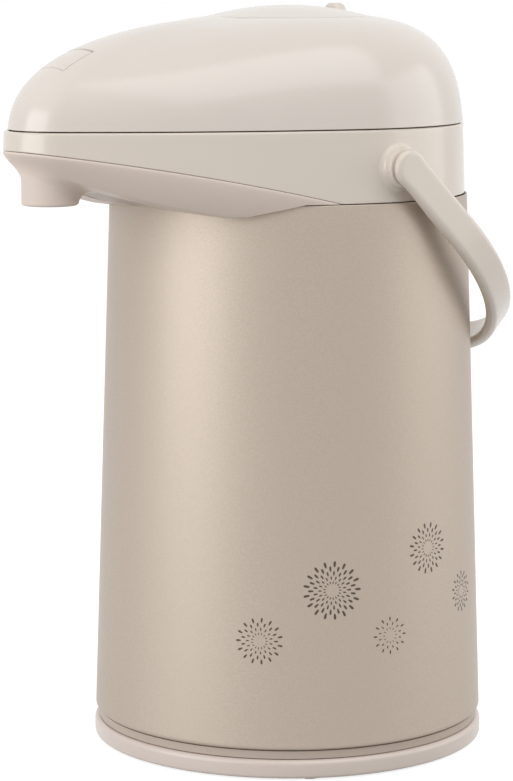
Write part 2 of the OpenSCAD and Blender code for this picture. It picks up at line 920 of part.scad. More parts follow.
// bracket behind the shoulder with two ears
module hinge_bracket() {
    ear_in = 8.4;
    ear_out = 13.4;
    color([0.80, 0.75, 0.70])
        difference() {
            union() {
                translate([-ear_out, 74, pivot_z - 2])
                    cube([2 * ear_out, 8.4, hinge_z - 6 - pivot_z + 2]);
                for (s = [-1, 1])
                    translate([s > 0 ? ear_in : -ear_out, 0, 0]) {
                        translate([0, 74, hinge_z - 9])
                            cube([ear_out - ear_in, hinge_y - 74, 9]);
                        translate([0, hinge_y, hinge_z])
                            rotate([0, 90, 0])
                                cylinder(r = knuckle_r, h = ear_out - ear_in, $fn = seg);
                    }
            }
            cylinder(r = head_r + 0.5, h = big, $fn = 180);
            translate([-big / 2, hinge_y, hinge_z])
                rotate([0, 90, 0])
                    cylinder(r = hinge_pin_r, h = big, $fn = seg);
            for (s = [-1, 1])
                translate([s * 10.4, 70, pivot_z + 4])
                    rotate([-90, 0, 0])
                        cylinder(r = 1.7, h = 20, $fn = 24);
        }
}

// screws of the hinge bracket
module hinge_screws() {
    color([0.55, 0.55, 0.57])
        for (s = [-1, 1])
            translate([s * 10.4, 83.7, pivot_z + 4])
                rotate([90, 0, 0])
                    screw(2.3, 1.3, 1.5, 7);
}

// pin of the lid hinge
module hinge_pin() {
    color([0.7, 0.7, 0.72])
        translate([-13.4, hinge_y, hinge_z])
            rotate([0, 90, 0])
                cylinder(r = hinge_pin_r, h = 26.8, $fn = seg);
}

// handle

// frame of the hanging handle: X along the pivots, Y along the arms
module at_handle() {
    translate([0, 0, pivot_z])
        rotate([-handle_drop, 0, 0])
            children();
}

// swing-over handle with two hubs and the stubs they turn on
module handle_bail() {
    r_out = handle_x;
    r_in = handle_x - handle_t;
    hub_in = boss_x + gap;
    c = 1.6;
    color([0.82, 0.77, 0.72])
        at_handle()
            difference() {
                union() {
                    translate([0, arm_len, 0])
                        rotate_extrude(angle = 180, $fn = 180)
                            polygon([
                                [r_in + c, -handle_w / 2], [r_out - c, -handle_w / 2],
                                [r_out, -handle_w / 2 + c], [r_out, handle_w / 2 - c],
                                [r_out - c, handle_w / 2], [r_in + c, handle_w / 2],
                                [r_in, handle_w / 2 - c], [r_in, -handle_w / 2 + c]]);
                    for (s = [-1, 1]) {
                        translate([0, 0, -handle_w / 2])
                            linear_extrude(height = handle_w)
                                polygon([
                                    [s * hub_in, 0], [s * r_out, 0], [s * r_out, arm_len],
                                    [s * r_in, arm_len], [s * r_in, 24], [s * hub_in, 11]]);
                        translate([s > 0 ? hub_in : -r_out, 0, 0])
                            rotate([0, 90, 0])
                                cylinder(r = hub_r, h = r_out - hub_in, $fn = seg);
                        translate([s > 0 ? stub_x : -hub_in - eps, 0, 0])
                            rotate([0, 90, 0])
                                cylinder(r = 5, h = hub_in - stub_x + eps, $fn = seg);
                    }
                }
                for (s = [-1, 1])
                    translate([s > 0 ? stub_x - 1 : -stub_x - 11, 0, 0])
                        rotate([0, 90, 0])
                            cylinder(r = 1.6, h = 12, $fn = 24);
            }
}

// inner end of the handle stubs, measured from the middle
stub_x = head_r - 3.9;

// washers that hold the handle stubs in the shoulder
module handle_washers() {
    color([0.62, 0.62, 0.64])
        for (s = [-1, 1])
            translate([s > 0 ? stub_x - 1.2 : -stub_x, 0, pivot_z])
                rotate([0, 90, 0])
                    difference() {
                        cylinder(r = 7.4, h = 1.2, $fn = seg);
                        translate([0, 0, -1])
                            cylinder(r = 1.6, h = 4, $fn = 24);
                    }
}

// screws in the handle stubs
module handle_screws() {
    color([0.55, 0.55, 0.57])
        for (s = [-1, 1])
            translate([s * (stub_x - 2.8), 0, pivot_z])
                rotate([0, s * 90, 0])
                    screw(3, 1.6, 1.5, 10);
}

// lid

// centre of the latch pin
latch_y = -nose_reach - 8.3;
latch_z = lid_z + 20.1;
// slot for the latch in the lid cover
latch_x = 9;
latch_front = latch_y + 1.2;
latch_rear = latch_y + 15.6;

// domed lid cover with the well for the push plate
module lid_cover() {
    low = lid_z + lid_gap;
    well_in = plate_r + 0.5;
    well_out = plate_r + 2.6;
    color([0.86, 0.82, 0.77])
        difference() {
            union() {
                difference() {
                    lid_dome(0, low);
                    lid_dome(lid_wall, low - 1);
                }
                intersection() {
                    lid_dome(0.6, low);
                    union() {
                        ring(well_out, well_in, seat_top + 3, lid_z + lid_h + 5);
                        at_lid_bosses()
                            cylinder(r = 3.4, h = lid_h, $fn = 32);
                        for (s = [-1, 1])
                            translate([s > 0 ? latch_x + 1 : -latch_x - 3.6, latch_y - 4, latch_z - 4])
                                cube([2.6, 8, 12]);
                    }
                }
            }
            translate([0, 0, seat_top])
                cylinder(r = well_in, h = lid_h + 10, $fn = 96);
            translate([-latch_x - gap, latch_front - 0.4, latch_z])
                cube([2 * latch_x + 2 * gap, latch_rear - latch_front + 1.7, 30]);
            translate([-latch_x - 3, latch_y, latch_z])
                rotate([0, 90, 0])
                    cylinder(r = 1.5, h = 2 * latch_x + 6, $fn = 24);
            translate([-8.4, 60, low - 1])
                cube([16.8, 30, 6.4]);
            at_lid_bosses()
                translate([0, 0, -1])
                    cylinder(r = 1.5, h = 9, $fn = 24);
        }
}

// places of the lid screws
module at_lid_bosses() {
    for (p = [[-57, 32.6], [57, 32.6], [-41.2, -61], [41.2, -61]])
        translate([p[0], p[1], base_top])
            children();
}

// floor of the lid with the hinge knuckle, the bellows seat and the gasket groove
module lid_base() {
    foot_low = lid_z - 1.2;
    color([0.80, 0.75, 0.70])
        difference() {
            union() {
                translate([0, 0, base_low])
                    linear_extrude(height = base_top - base_low)
                        polygon(plan(lid_r, lid_nose_r, lid_reach, lid_wall + 0.6));
                translate([0, 0, base_low])
                    cylinder(r = 34, h = seat_top - base_low, $fn = 96);
                ring(39.6, 38, foot_low, base_low + eps);
                ring(30.8, 29.2, foot_low, base_low + eps);
                translate([-8, 70, base_low])
                    cube([16, hinge_y - 70, 4.6]);
                translate([-8, hinge_y, hinge_z])
                    rotate([0, 90, 0])
                        cylinder(r = knuckle_r, h = 16, $fn = seg);
            }
            translate([-13, hinge_y, hinge_z])
                rotate([0, 90, 0])
                    cylinder(r = hinge_pin_r + 0.1, h = 26, $fn = seg);
            translate([0, 0, base_low - 1])
                cylinder(r = 1.8, h = 10, $fn = 24);
            for (k = [0 : 5])
                rotate([0, 0, 60 * k])
                    translate([6, 0, base_low - 1])
                        cylinder(r = 1.8, h = 10, $fn = 24);
            translate([-6.5, -139.4, base_low - 1])
                cube([13, 13, 6]);
            at_lid_bosses()
                translate([0, 0, -5])
                    cylinder(r = 1.7, h = 10, $fn = 24);
        }
}

// screws that hold the lid floor to the cover
module lid_screws() {
    color([0.55, 0.55, 0.57])
        at_lid_bosses()
            translate([0, 0, base_low - base_top - 1.3])
                screw(2.8, 1.3, 1.4, 8);
}

// rubber ring that seals the lid on the mouth collar
module lid_gasket() {
    color([0.9, 0.9, 0.88])
        ring(37.8, 31, collar_top + 0.2, base_low);
}

// latch button in the top of the nose with its hook
module lid_latch() {
    hook_low = deck_top + 0.4;
    color([0.84, 0.80, 0.75])
        difference() {
            union() {
                intersection() {
                    difference() {
                        lid_dome(0, lid_z);
                        lid_dome(2.2, lid_z - 1);
                    }
                    translate([-latch_x, latch_front, latch_z])
                        cube([2 * latch_x, latch_rear - latch_front, 30]);
                }
                translate([-5, 0, 0])
                    rotate([90, 0, 90])
                        linear_extrude(height = 10)
                            polygon([
                                [latch_y - 9.5, hook_low],
                                [latch_y - 5, hook_low],
                                [latch_y - 5, hook_low + 2],
                                [latch_y - 6.4, hook_low + 2],
                                [latch_y - 6.4, latch_z - 10.5],
                                [latch_y + 2, latch_z - 3],
                                [latch_y + 3.4, latch_z + 5.2],
                                [latch_y - 1, latch_z + 1.6],
                                [latch_y - 4, latch_z - 2],
                                [latch_y - 9.5, latch_z - 9]]);
            }
            translate([-6, latch_y, latch_z])
                rotate([0, 90, 0])
                    cylinder(r = 1.65, h = 12, $fn = 24);
        }
}

// pin of the latch
module latch_pin() {
    color([0.7, 0.7, 0.72])
        translate([-latch_x - 2.8, latch_y, latch_z])
            rotate([0, 90, 0])
                cylinder(r = 1.5, h = 2 * latch_x + 5.6, $fn = 24);
}

// pump

// folded bellows between the lid floor and the plunger
module bellows() {
    low = seat_top;
    high = plunger_z;
    end = 1.2;
    fold_h = (high - low - 2 * end) / folds;
    depth = 5;
    r_valley = bellows_r - depth;
    wave = [for (k = [0 : folds - 1]) for (j = [0, 1])
        [j == 0 ? r_valley : bellows_r, low + end + fold_h * (k + j / 2)]];
    outer = concat([[r_valley, low]], wave, [[r_valley, high - end], [r_valley, high]]);
    inner = concat([[r_valley - bellows_wall, high - end]], [for (k = [folds - 1 : -1 : 0]) for (j = [1, 0])
        [(j == 0 ? r_valley : bellows_r) - bellows_wall, low + end + fold_h * (k + j / 2)]]);
    color([0.88, 0.88, 0.86])
        rotate_extrude($fn = 120)
            polygon(concat(
                outer,
                [[r_valley - 3.5, high], [r_valley - 3.5, high - end]],
                inner,
                [[r_valley - 3.5, low + end], [r_valley - 3.5, low]]));
}

// spring inside the bellows, a round wire wound as a helix
module return_spring() {
    sides = 6;
    per_turn = 18;
    steps = spring_turns * per_turn;
    low = seat_top + spring_wire + 0.05;
    rise = plunger_z - seat_top - 2 * spring_wire - 0.1;
    pts = [for (i = [0 : steps]) for (j = [0 : sides - 1])
        let (a = 360 * i / per_turn)
        let (b = 360 * j / sides)
        let (r = spring_r + spring_wire * cos(b))
        [r * cos(a), r * sin(a), low + rise * i / steps + spring_wire * sin(b)]];
    color([0.7, 0.7, 0.72])
        polyhedron(pts, ring_faces(sides, steps + 1), convexity = 12);
}

// rubber flap under the lid floor that lets air into the liner
module outlet_valve() {
    color([0.3, 0.3, 0.31])
        union() {
            translate([0, 0, base_low - 1.3])
                cylinder(r = 10, h = 1.2, $fn = 48);
            translate([0, 0, base_low - 0.2])
                cylinder(r = 1.5, h = seat_top - base_low + 2.2, $fn = 24);
            translate([0, 0, seat_top + 1.7])
                cylinder(r = 3, h = 1, $fn = 24);
        }
}

// domed plate that is pressed to pump, with its sliding skirt
module push_plate() {
    skirt_low = plate_edge - 13;
    skin = 2.5;
    dome = [for (k = [0 : 12])
        [plate_r * (1 - k / 12), plate_edge + plate_rise * (1 - pow(1 - k / 12, 2))]];
    under = [for (k = [12 : -1 : 0])
        [(plate_r - 2.3) * (1 - k / 12), plate_edge - skin + plate_rise * (1 - pow(1 - k / 12, 2))]];
    color([0.85, 0.81, 0.76])
        difference() {
            rotate_extrude($fn = 120)
                polygon(concat([[plate_r, skirt_low]], dome, under, [[plate_r - 2.3, skirt_low]]));
            translate([-lock_x - 0.3, lock_y - 4.3, plate_edge - 3])
                cube([2 * lock_x + 0.6, lock_len + 4.6, 12]);
        }
}

// lock knob place on the push plate
lock_x = 5;
lock_y = 22.6;
lock_len = 8;

// piston under the push plate with its air holes
module plunger() {
    color([0.80, 0.75, 0.70])
        difference() {
            union() {
                translate([0, 0, plunger_z])
                    cylinder(r = 30, h = 2.4, $fn = 96);
                translate([0, 0, plunger_z])
                    cylinder(r = 8.6, h = plate_top - 2.9 - plunger_z, $fn = 48);
            }
            for (k = [0 : 5])
                rotate([0, 0, 60 * k])
                    translate([14, 0, plunger_z - 1])
                        cylinder(r = 1.8, h = 6, $fn = 24);
            translate([0, 0, plunger_z - 1])
                cylinder(r = 6.6, h = plate_top - 6 - plunger_z, $fn = 48);
            for (k = [0 : 1])
                rotate([0, 0, 90 * k + 45])
                    translate([-20, -1.5, plunger_z + 4])
                        cube([40, 3, 4]);
        }
}

// rubber ring valve under the plunger that lets fresh air in
module intake_valve() {
    color([0.3, 0.3, 0.31])
        union() {
            ring(18, 8, plunger_z - 1.3, plunger_z - 0.1);
        }
}

// sliding knob of the pump lock
module lock_knob() {
    top = plate_top + 0.7;
    under = plate_edge - 3.6;
    color([0.84, 0.80, 0.75])
        union() {
            translate([-lock_x, 0, 0])
                rotate([90, 0, 90])
                    linear_extrude(height = 2 * lock_x)
                        polygon([
                            [lock_y, under],
                            [lock_y + lock_len, under],
                            [lock_y + lock_len, plate_edge + 2.4],
                            [lock_y + lock_len - 1.2, top],
                            [lock_y + 1.2, top],
                            [lock_y, top - 2]]);
            translate([-lock_x - 2.5, lock_y - 2.4, under - 1])
                cube([2 * lock_x + 5, lock_len + 3.8, 1.6]);
        }
}

outer_case();
shoulder_housing();
spout_panel();
spout_bottom_plate();
bottom_cover();
bottom_ring();
bottom_screws();
turntable_ring();
turntable_retainer();
retainer_screw();
hub_cap();
feet();
top_deck();
deck_screws();
mouth_collar();
collar_screws();
neck_gasket();
glass_inner();
glass_outer();
liner_cushion();
tip_cap();
tube_holder();
elbow_seal();
spout_pipe();
siphon_tube();
tube_foot();
valve_cage();
stop_ball();
hinge_bracket();
hinge_screws();
hinge_pin();
handle_bail();
handle_washers();
handle_screws();
lid_cover();
lid_base();
lid_screws();
lid_gasket();
lid_latch();
latch_pin();
bellows();
return_spring();
outlet_valve();
push_plate();
plunger();
intake_valve();
lock_knob();
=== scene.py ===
import json
import math

import bmesh
import bpy
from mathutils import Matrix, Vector


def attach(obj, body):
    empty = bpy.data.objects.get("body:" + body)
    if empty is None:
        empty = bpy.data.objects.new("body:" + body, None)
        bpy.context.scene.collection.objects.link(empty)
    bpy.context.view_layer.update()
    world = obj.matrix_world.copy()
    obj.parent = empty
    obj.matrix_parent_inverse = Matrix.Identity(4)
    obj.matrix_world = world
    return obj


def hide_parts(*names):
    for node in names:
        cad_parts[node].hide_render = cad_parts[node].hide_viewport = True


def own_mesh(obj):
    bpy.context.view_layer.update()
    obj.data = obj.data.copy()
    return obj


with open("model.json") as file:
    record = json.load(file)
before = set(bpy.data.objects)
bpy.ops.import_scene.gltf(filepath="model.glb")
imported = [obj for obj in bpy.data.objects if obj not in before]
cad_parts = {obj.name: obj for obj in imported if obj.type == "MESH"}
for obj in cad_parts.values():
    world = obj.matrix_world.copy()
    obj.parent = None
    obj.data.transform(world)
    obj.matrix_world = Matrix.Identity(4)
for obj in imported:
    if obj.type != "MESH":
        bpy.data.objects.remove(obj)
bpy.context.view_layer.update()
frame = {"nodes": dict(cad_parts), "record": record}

# %% [markdown]
# ## Helpers for node trees
#
# A node tree is a list of nodes and links, whether it shades a surface or makes one. A function that
# adds a node and links its sockets keeps every tree below readable. Colours are written as the hex
# values of a paint chart, and turned to linear light in one place.
# %% Nodes, colours and new materials


def put(tree, node, inputs):
    """Sets inputs of a node, by name or number, to values or to links from other sockets."""
    for key, value in inputs.items():
        if isinstance(value, bpy.types.NodeSocket):
            tree.links.new(value, node.inputs[key])
        else:
            node.inputs[key].default_value = value
    return node


def add(tree, kind, inputs=None, **settings):
    """Adds a node with its settings and inputs."""
    node = tree.nodes.new(kind)
    for key, value in settings.items():
        setattr(node, key, value)
    return put(tree, node, inputs or {})


def get(tree, kind, inputs=None, **settings):
    """Adds a node and gets its first output."""
    return add(tree, kind, inputs, **settings).outputs[0]


def colour(code):
    """sRGB hex to linear RGBA."""
    parts = [int(code[i : i + 2], 16) / 255 for i in (1, 3, 5)]
    return (*[c / 12.92 if c <= 0.04045 else ((c + 0.055) / 1.055) ** 2.4 for c in parts], 1.0)


def new_material(name):
    """An empty material, its tree, the Principled shader and the object coordinates in metres."""
    material = bpy.data.materials.new(name)
    material.use_nodes = True
    tree = material.node_tree
    tree.nodes.clear()
    shader = add(tree, "ShaderNodeBsdfPrincipled")
    add(tree, "ShaderNodeOutputMaterial", {"Surface": shader.outputs["BSDF"]})
    return material, tree, shader, add(tree, "ShaderNodeTexCoord").outputs["Object"]


# %% [markdown]
# Every finish below is made of four strokes: a noise, a colour that drifts between two tones, a
# value that runs between two limits, and a relief. Each gives a socket, so they nest.
# %% Strokes of a finish


def noise(tree, place, mm, detail):
    """A noise whose features are about a size in millimetres."""
    inputs = {"Vector": place, "Scale": 1000 / mm, "Detail": detail}
    return add(tree, "ShaderNodeTexNoise", inputs).outputs["Fac"]


def two_tones(tree, factor, light, dark):
    """A colour that drifts from light to dark."""
    inputs = {"Factor": factor, 6: colour(light), 7: colour(dark)}
    return add(tree, "ShaderNodeMix", inputs, data_type="RGBA").outputs[2]


def between(tree, value, low, high):
    """A value that runs from low to high as another runs from 0 to 1."""
    return get(tree, "ShaderNodeMapRange", {"Value": value, 3: low, 4: high})


def relief(tree, height, mm, **below):
    """A surface normal tilted by a relief of a height in millimetres."""
    inputs = {"Height": height, "Strength": 1.0, "Distance": 0.001 * mm, **below}
    return get(tree, "ShaderNodeBump", inputs)


# %% [markdown]
# ## Moulded plastic
#
# The head, handle and base are injection-moulded ABS and polypropylene. A polished mould leaves an
# almost smooth skin with a faint long-wave ripple from shrinkage, and the melt is never one exact
# colour. So each plastic mixes two close tones over tens of millimetres, lets its gloss drift a
# little, and adds a fine skin. Real spark-eroded grain is 0.1 mm, too fine to show here, so it is
# drawn at 0.7 mm and kept very shallow. Only the polished plastics have a clear outer gloss.
# %% Moulded plastic materials
TONE_MM, GLOSS_MM, WAVE_MM, GRAIN_MM = 45, 12, 20, 0.7
GLOSS_DRIFT = 0.03


def plastic(name, light, dark, gloss, shine=0.5, ripple=0.004, grain=0.012):
    """gloss is the roughness, shine how much it mirrors, ripple and grain heights in millimetres."""
    material, tree, shader, place = new_material(name)
    drift = noise(tree, place, GLOSS_MM, 3.0)
    skin = relief(tree, noise(tree, place, GRAIN_MM, 1.0), grain)
    look = {
        "Base Color": two_tones(tree, noise(tree, place, TONE_MM, 2.0), light, dark),
        "Roughness": between(tree, drift, gloss - GLOSS_DRIFT, gloss + GLOSS_DRIFT),
        "Normal": relief(tree, noise(tree, place, WAVE_MM, 0.0), ripple, Normal=skin),
        "IOR": 1.5,
        "Specular IOR Level": shine,
        "Coat Weight": 0.22 if gloss < 0.3 else 0.0,
        "Coat Roughness": 0.16,
    }
    put(tree, shader, look)
    return material


head_abs = plastic("moulded_abs_beige_gloss", "#DDD2C6", "#D9CDC0", 0.235)
lid_abs = plastic("moulded_abs_lid_gloss", "#DCD3C9", "#D8CEC4", 0.235)
# The spout panel is the head's beige plastic with little shine, its tones lifted above the head's as
# painted light for the sheen it loses.
panel_abs_painted_light = plastic("moulded_abs_spout_panel_painted_light", "#E5D6CA", "#E1D1C5", 0.4, shine=0.08)
base_abs = plastic("moulded_abs_base_pinkish", "#D8CBC2", "#D2C4BA", 0.32)
# The underside plastic is drawn darker than its own colour: painted shade under the nose and in the
# groove above the base ring.
underside_pp_painted_shade = plastic("moulded_pp_underside_painted_shade", "#C4B5A8", "#BCADA0", 0.45, 0.2, grain=0.03)
inner_pp = plastic("moulded_pp_inside_satin", "#D2C8BD", "#CBC1B6", 0.42, grain=0.03)
food_pp = plastic("moulded_pp_food_grade_milky", "#E7E3DC", "#E0DCD5", 0.36)
milky = food_pp.node_tree.nodes["Principled BSDF"].inputs
milky["Subsurface Weight"].default_value = 0.15
milky["Subsurface Scale"].default_value = 0.004
print("plastics:", [m.name for m in bpy.data.materials])

# %% [markdown]
# ## Lacquered metal
#
# The case is steel sheet with a champagne lacquer that holds aluminium flakes. The flakes all lie
# nearly flat, so the whole skin reflects like a blurred metal, and each one tilts a little, so the
# shine breaks up in a fine sparkle. A flake is 0.03 mm; it is drawn at 0.35 mm so that it shows.
# The lacquer was sprayed round a standing case, which leaves tone bands that run with the height.
# %% Champagne flake lacquer
FLAKE_MM = 0.35
lacquer, tree, shader, place = new_material("sprayed_flake_lacquer_champagne")
flakes = add(tree, "ShaderNodeTexVoronoi", {"Vector": place, "Scale": 1000 / FLAKE_MM})
sparkle = add(tree, "ShaderNodeSeparateColor", {"Color": flakes.outputs["Color"]}).outputs
flake_tone = add(tree, "ShaderNodeValToRGB", {"Fac": sparkle[0]})
for stop, tone in zip(flake_tone.color_ramp.elements, ("#AC9E8F", "#BEB1A4")):
    stop.color = colour(tone)
spray = get(tree, "ShaderNodeMapping", {"Vector": place, "Scale": (30.0, 30.0, 4.0)})
bands = noise(tree, spray, 1000, 2.0)
sprayed = {"Factor": bands, 6: flake_tone.outputs[0], 7: colour("#B6A899")}
look = {
    "Base Color": add(tree, "ShaderNodeMix", sprayed, data_type="RGBA").outputs[2],
    "Metallic": 0.45,
    "Roughness": between(tree, sparkle[1], 0.4, 0.52),
    "Normal": relief(tree, sparkle[2], 0.006),
    "Coat Weight": 0.36,
    "Coat Roughness": 0.4,
    "Specular Tint": (0.62, 0.59, 0.56, 1),
}
put(tree, shader, look)
print("lacquer:", lacquer.name)

# %% [markdown]
# ## Metals, glass and rubber
#
# Pressed and turned steel carries fine tool marks, so its noise is stretched along one axis. Zinc
# plating on screws is bright and cloudy. The liner is two glass walls silvered on the inside of the
# gap, which looks like a mirror under a clear skin. Rubber is dry, silicone pale and milky.
# %% Metal, silvered glass, rubber and ink


def metal(name, light, dark, gloss, stretch, mark_mm):
    """Metal with tool marks: mark_mm is the spacing of the marks and stretch their direction."""
    material, tree, shader, place = new_material(name)
    run = get(tree, "ShaderNodeMapping", {"Vector": place, "Scale": stretch})
    marks = noise(tree, run, mark_mm, 3.0)
    rough = between(tree, marks, gloss - 0.05, gloss + 0.08)
    tone = two_tones(tree, marks, light, dark)
    put(tree, shader, {"Base Color": tone, "Roughness": rough, "Metallic": 1.0})
    return material


def rubber(name, light, dark, gloss):
    """Pressed rubber: a dusty two-tone skin with a dry 0.4 mm grain."""
    material, tree, shader, place = new_material(name)
    tone = two_tones(tree, noise(tree, place, 6, 4.0), light, dark)
    skin = relief(tree, noise(tree, place, 0.4, 1.0), 0.02)
    put(tree, shader, {"Base Color": tone, "Normal": skin, "Roughness": gloss})
    return material


steel = metal("stainless_steel_turned", "#B9B9BB", "#A9A9AC", 0.3, (1.0, 1.0, 14.0), 9.0)
zinc = metal("zinc_plated_steel", "#C2C4C6", "#AFB2B6", 0.28, (1.0, 1.0, 1.0), 2.5)
silver = metal("silvered_glass", "#C9D3D6", "#BFCBCF", 0.12, (1.0, 1.0, 1.0), 30.0)
silver.node_tree.nodes["Principled BSDF"].inputs["Coat Weight"].default_value = 1.0
grey_rubber = rubber("nitrile_rubber_warm_grey", "#8F877F", "#847C74", 0.6)
silicone = rubber("silicone_rubber_milky", "#E2E0DA", "#D8D6D0", 0.5)
ink = rubber("screen_print_ink_umber", "#463A2F", "#54473A", 0.5)
print("materials:", len(bpy.data.materials))

# %% [markdown]
# ## Points in plan and section
#
# Sections and plans are lists of points. Short functions give those on arcs and circles.
# %% Arcs and circles
FULL = 2 * math.pi


def spoke(r, a, cx=0.0, cy=0.0):
    """Point at a radius and an angle in radians."""
    return cx + r * math.cos(a), cy + r * math.sin(a)


def cosd(a):
    """Cosine in degrees."""
    return math.cos(math.radians(a))


def sind(a):
    """Sine in degrees."""
    return math.sin(math.radians(a))


def spread(start, end, count):
    """Even steps from start up to, but without, end."""
    return [start + (end - start) * i / count for i in range(count)]


def arc(cx, cz, r, start, end, steps):
    """Points of a circular arc, angles in degrees."""
    angles = [start + (end - start) * i / steps for i in range(steps + 1)]
    return [spoke(r, math.radians(a), cx, cz) for a in angles]


def circle(r, count, cx=0.0, cy=0.0):
    """Points of a whole circle."""
    return [spoke(r, a, cx, cy) for a in spread(0, FULL, count)]


# %% [markdown]
# ## Making a mesh from rings
#
# Most shells here are stacks of rings: the same number of points on every ring, joined by
# quadrilaterals, with the last ring joined to the first so that the wall is closed. Points that meet
# are merged and the normals are then turned outwards. Edges sharper than 40 degrees stay crisp.
# %% Helpers for meshes
SHARP, MERGE = math.radians(40), 2e-6
scene = bpy.context.scene


def in_scene(name, data):
    """A new object in the scene that holds a mesh, a lamp or a camera."""
    piece = bpy.data.objects.new(name, data)
    scene.collection.objects.link(piece)
    return piece


def tidy(piece):
    """Shades a piece smooth, except across its sharp edges."""
    piece.data.shade_smooth()
    piece.data.set_sharp_from_angle(angle=SHARP)
    return piece


def rework(piece, work):
    """Opens the mesh of a piece, runs work on it and puts it back."""
    mesh = bmesh.new()
    mesh.from_mesh(piece.data)
    work(mesh)
    mesh.to_mesh(piece.data)
    mesh.free()
    return tidy(piece)


def apply_steps(piece):
    """Keeps what the modifiers of a piece show as its plain mesh."""
    seen = piece.evaluated_get(bpy.context.evaluated_depsgraph_get())
    data = bpy.data.meshes.new_from_object(seen)
    piece.modifiers.clear()
    piece.data = data
    return tidy(piece)


def from_faces(name, points, faces):
    """A closed piece from points in millimetres and faces."""

    def work(mesh):
        corners = [mesh.verts.new([0.001 * c for c in p]) for p in points]
        for face in faces:
            mesh.faces.new([corners[i] for i in face])
        bmesh.ops.remove_doubles(mesh, verts=mesh.verts, dist=MERGE)
        bmesh.ops.delete(mesh, geom=[e for e in mesh.edges if not e.link_faces], context="EDGES")
        bmesh.ops.recalc_face_normals(mesh, faces=mesh.faces)

    return rework(in_scene(name, bpy.data.meshes.new(name)), work)


def ring_faces(n, m, closed):
    """Quadrilaterals between m rings of n points, and from the last ring to the first if closed."""
    return [
        (j * n + i, j * n + (i + 1) % n, (j + 1) % m * n + (i + 1) % n, (j + 1) % m * n + i)
        for j in range(m if closed else m - 1)
        for i in range(n)
    ]


def from_rings(name, rings):
    """A closed piece from rings that are joined each to the next, and the last to the first."""
    faces = ring_faces(len(rings[0]), len(rings), True)
    return from_faces(name, [p for ring in rings for p in ring], faces)


def dress(piece, material, body, slot, *nodes):
    """Gives a finished piece its finish, the body it moves with, and the frame nodes it stands for."""
    if not piece.data.materials:
        piece.data.materials.append(material)
    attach(piece, body)
    if nodes:
        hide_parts(*nodes)
    box = [round(1000 * v, 1) for v in piece.dimensions]
    print(f"{piece.name}: {box} mm, {sum(len(f.vertices) - 2 for f in piece.data.polygons)} triangles")
    return piece


# %% [markdown]
# ## A tree that turns a profile
#
# The case, the base ring, the push plate and the bellows are all bodies of revolution, whose shape
# is a rule: the same half section at every angle. A lathe could be Spin or a Screw modifier. Here it
# is a Geometry Nodes tree, so that one rule serves every turned piece: a flat grid is laid out, one
# side counting the points of the profile and the other the turn, and each grid point is moved to
# the profile point it stands for, turned about the upright axis. Merging closes seam and poles.
# %% The turning tree


def tree_with_inputs(name, sockets):
    """A geometry tree with geometry in and out, the named inputs and a material."""
    tree = bpy.data.node_groups.new(name, "GeometryNodeTree")
    tree.interface.new_socket("Geometry", in_out="OUTPUT", socket_type="NodeSocketGeometry")
    for label, kind in {"Geometry": "Geometry", **sockets, "Material": "Material"}.items():
        tree.interface.new_socket(label, in_out="INPUT", socket_type="NodeSocket" + kind)
    return tree, add(tree, "NodeGroupInput").outputs


def calculator(tree):
    """A function that adds a math node to tree and gives the socket of its result."""
    return lambda kind, a, b=0.0: get(tree, "ShaderNodeMath", {0: a, 1: b}, operation=kind)


def polar(tree, radius, angle, height=0.0):
    """The point at a radius, an angle and a height."""
    do = calculator(tree)
    x, y = [do("MULTIPLY", radius, do(kind, angle)) for kind in ("COSINE", "SINE")]
    return get(tree, "ShaderNodeCombineXYZ", {0: x, 1: y, 2: height})


def parts_of(tree, vector):
    """The three parts of a vector."""
    return add(tree, "ShaderNodeSeparateXYZ", {0: vector}).outputs


def end_tree(tree, geometry, material):
    """Realizes instances, sets the material and joins the result to the output."""
    real = get(tree, "GeometryNodeRealizeInstances", {"Geometry": geometry})
    shown = get(tree, "GeometryNodeSetMaterial", {"Geometry": real, "Material": material})
    add(tree, "NodeGroupOutput", {"Geometry": shown})


def grow(piece, tree, values):
    """Runs a tree on piece with the named values and keeps the result as a plain mesh."""
    step = piece.modifiers.new(tree.name, "NODES")
    step.node_group = tree
    for item in tree.interface.items_tree:
        if item.in_out == "INPUT" and item.name in values:
            step[item.identifier] = values[item.name]
    return apply_steps(piece)


turning, given = tree_with_inputs("turn_a_profile", {"Points": "Int", "Segments": "Int"})
do = calculator(turning)
grid = {"Size X": 1.0, "Size Y": 1.0, "Vertices X": given["Points"]}
grid["Vertices Y"] = do("ADD", given["Segments"], 1.0)
across = get(turning, "GeometryNodeMeshGrid", grid)
own_place = get(turning, "GeometryNodeInputPosition")
spot = parts_of(turning, own_place)
last = do("SUBTRACT", given["Points"], 1.0)
which = do("ROUND", do("MULTIPLY", do("ADD", spot[0], 0.5), last))
taken = {"Geometry": given["Geometry"], "Value": own_place, "Index": which}
sample = get(turning, "GeometryNodeSampleIndex", taken, data_type="FLOAT_VECTOR")
half = parts_of(turning, sample)
wrapped = polar(turning, half[0], do("MULTIPLY", spot[1], FULL), half[2])
moved = get(turning, "GeometryNodeSetPosition", {"Geometry": across, "Position": wrapped})
closed = get(turning, "GeometryNodeMergeByDistance", {"Geometry": moved, "Distance": MERGE})
end_tree(turning, closed, given["Material"])


def turned(name, profile, material, segments):
    """A body of revolution from a closed half section of (radius, height) in millimetres."""
    points = [(0.001 * r, 0.0, 0.001 * z) for r, z in [*profile, profile[0]]]
    data = bpy.data.meshes.new(name)
    data.from_pydata(points, [(i, i + 1) for i in range(len(profile))], [])
    values = {"Points": len(points), "Segments": segments, "Material": material}
    piece = grow(in_scene(name, data), turning, values)
    return rework(piece, lambda mesh: bmesh.ops.recalc_face_normals(mesh, faces=mesh.faces))


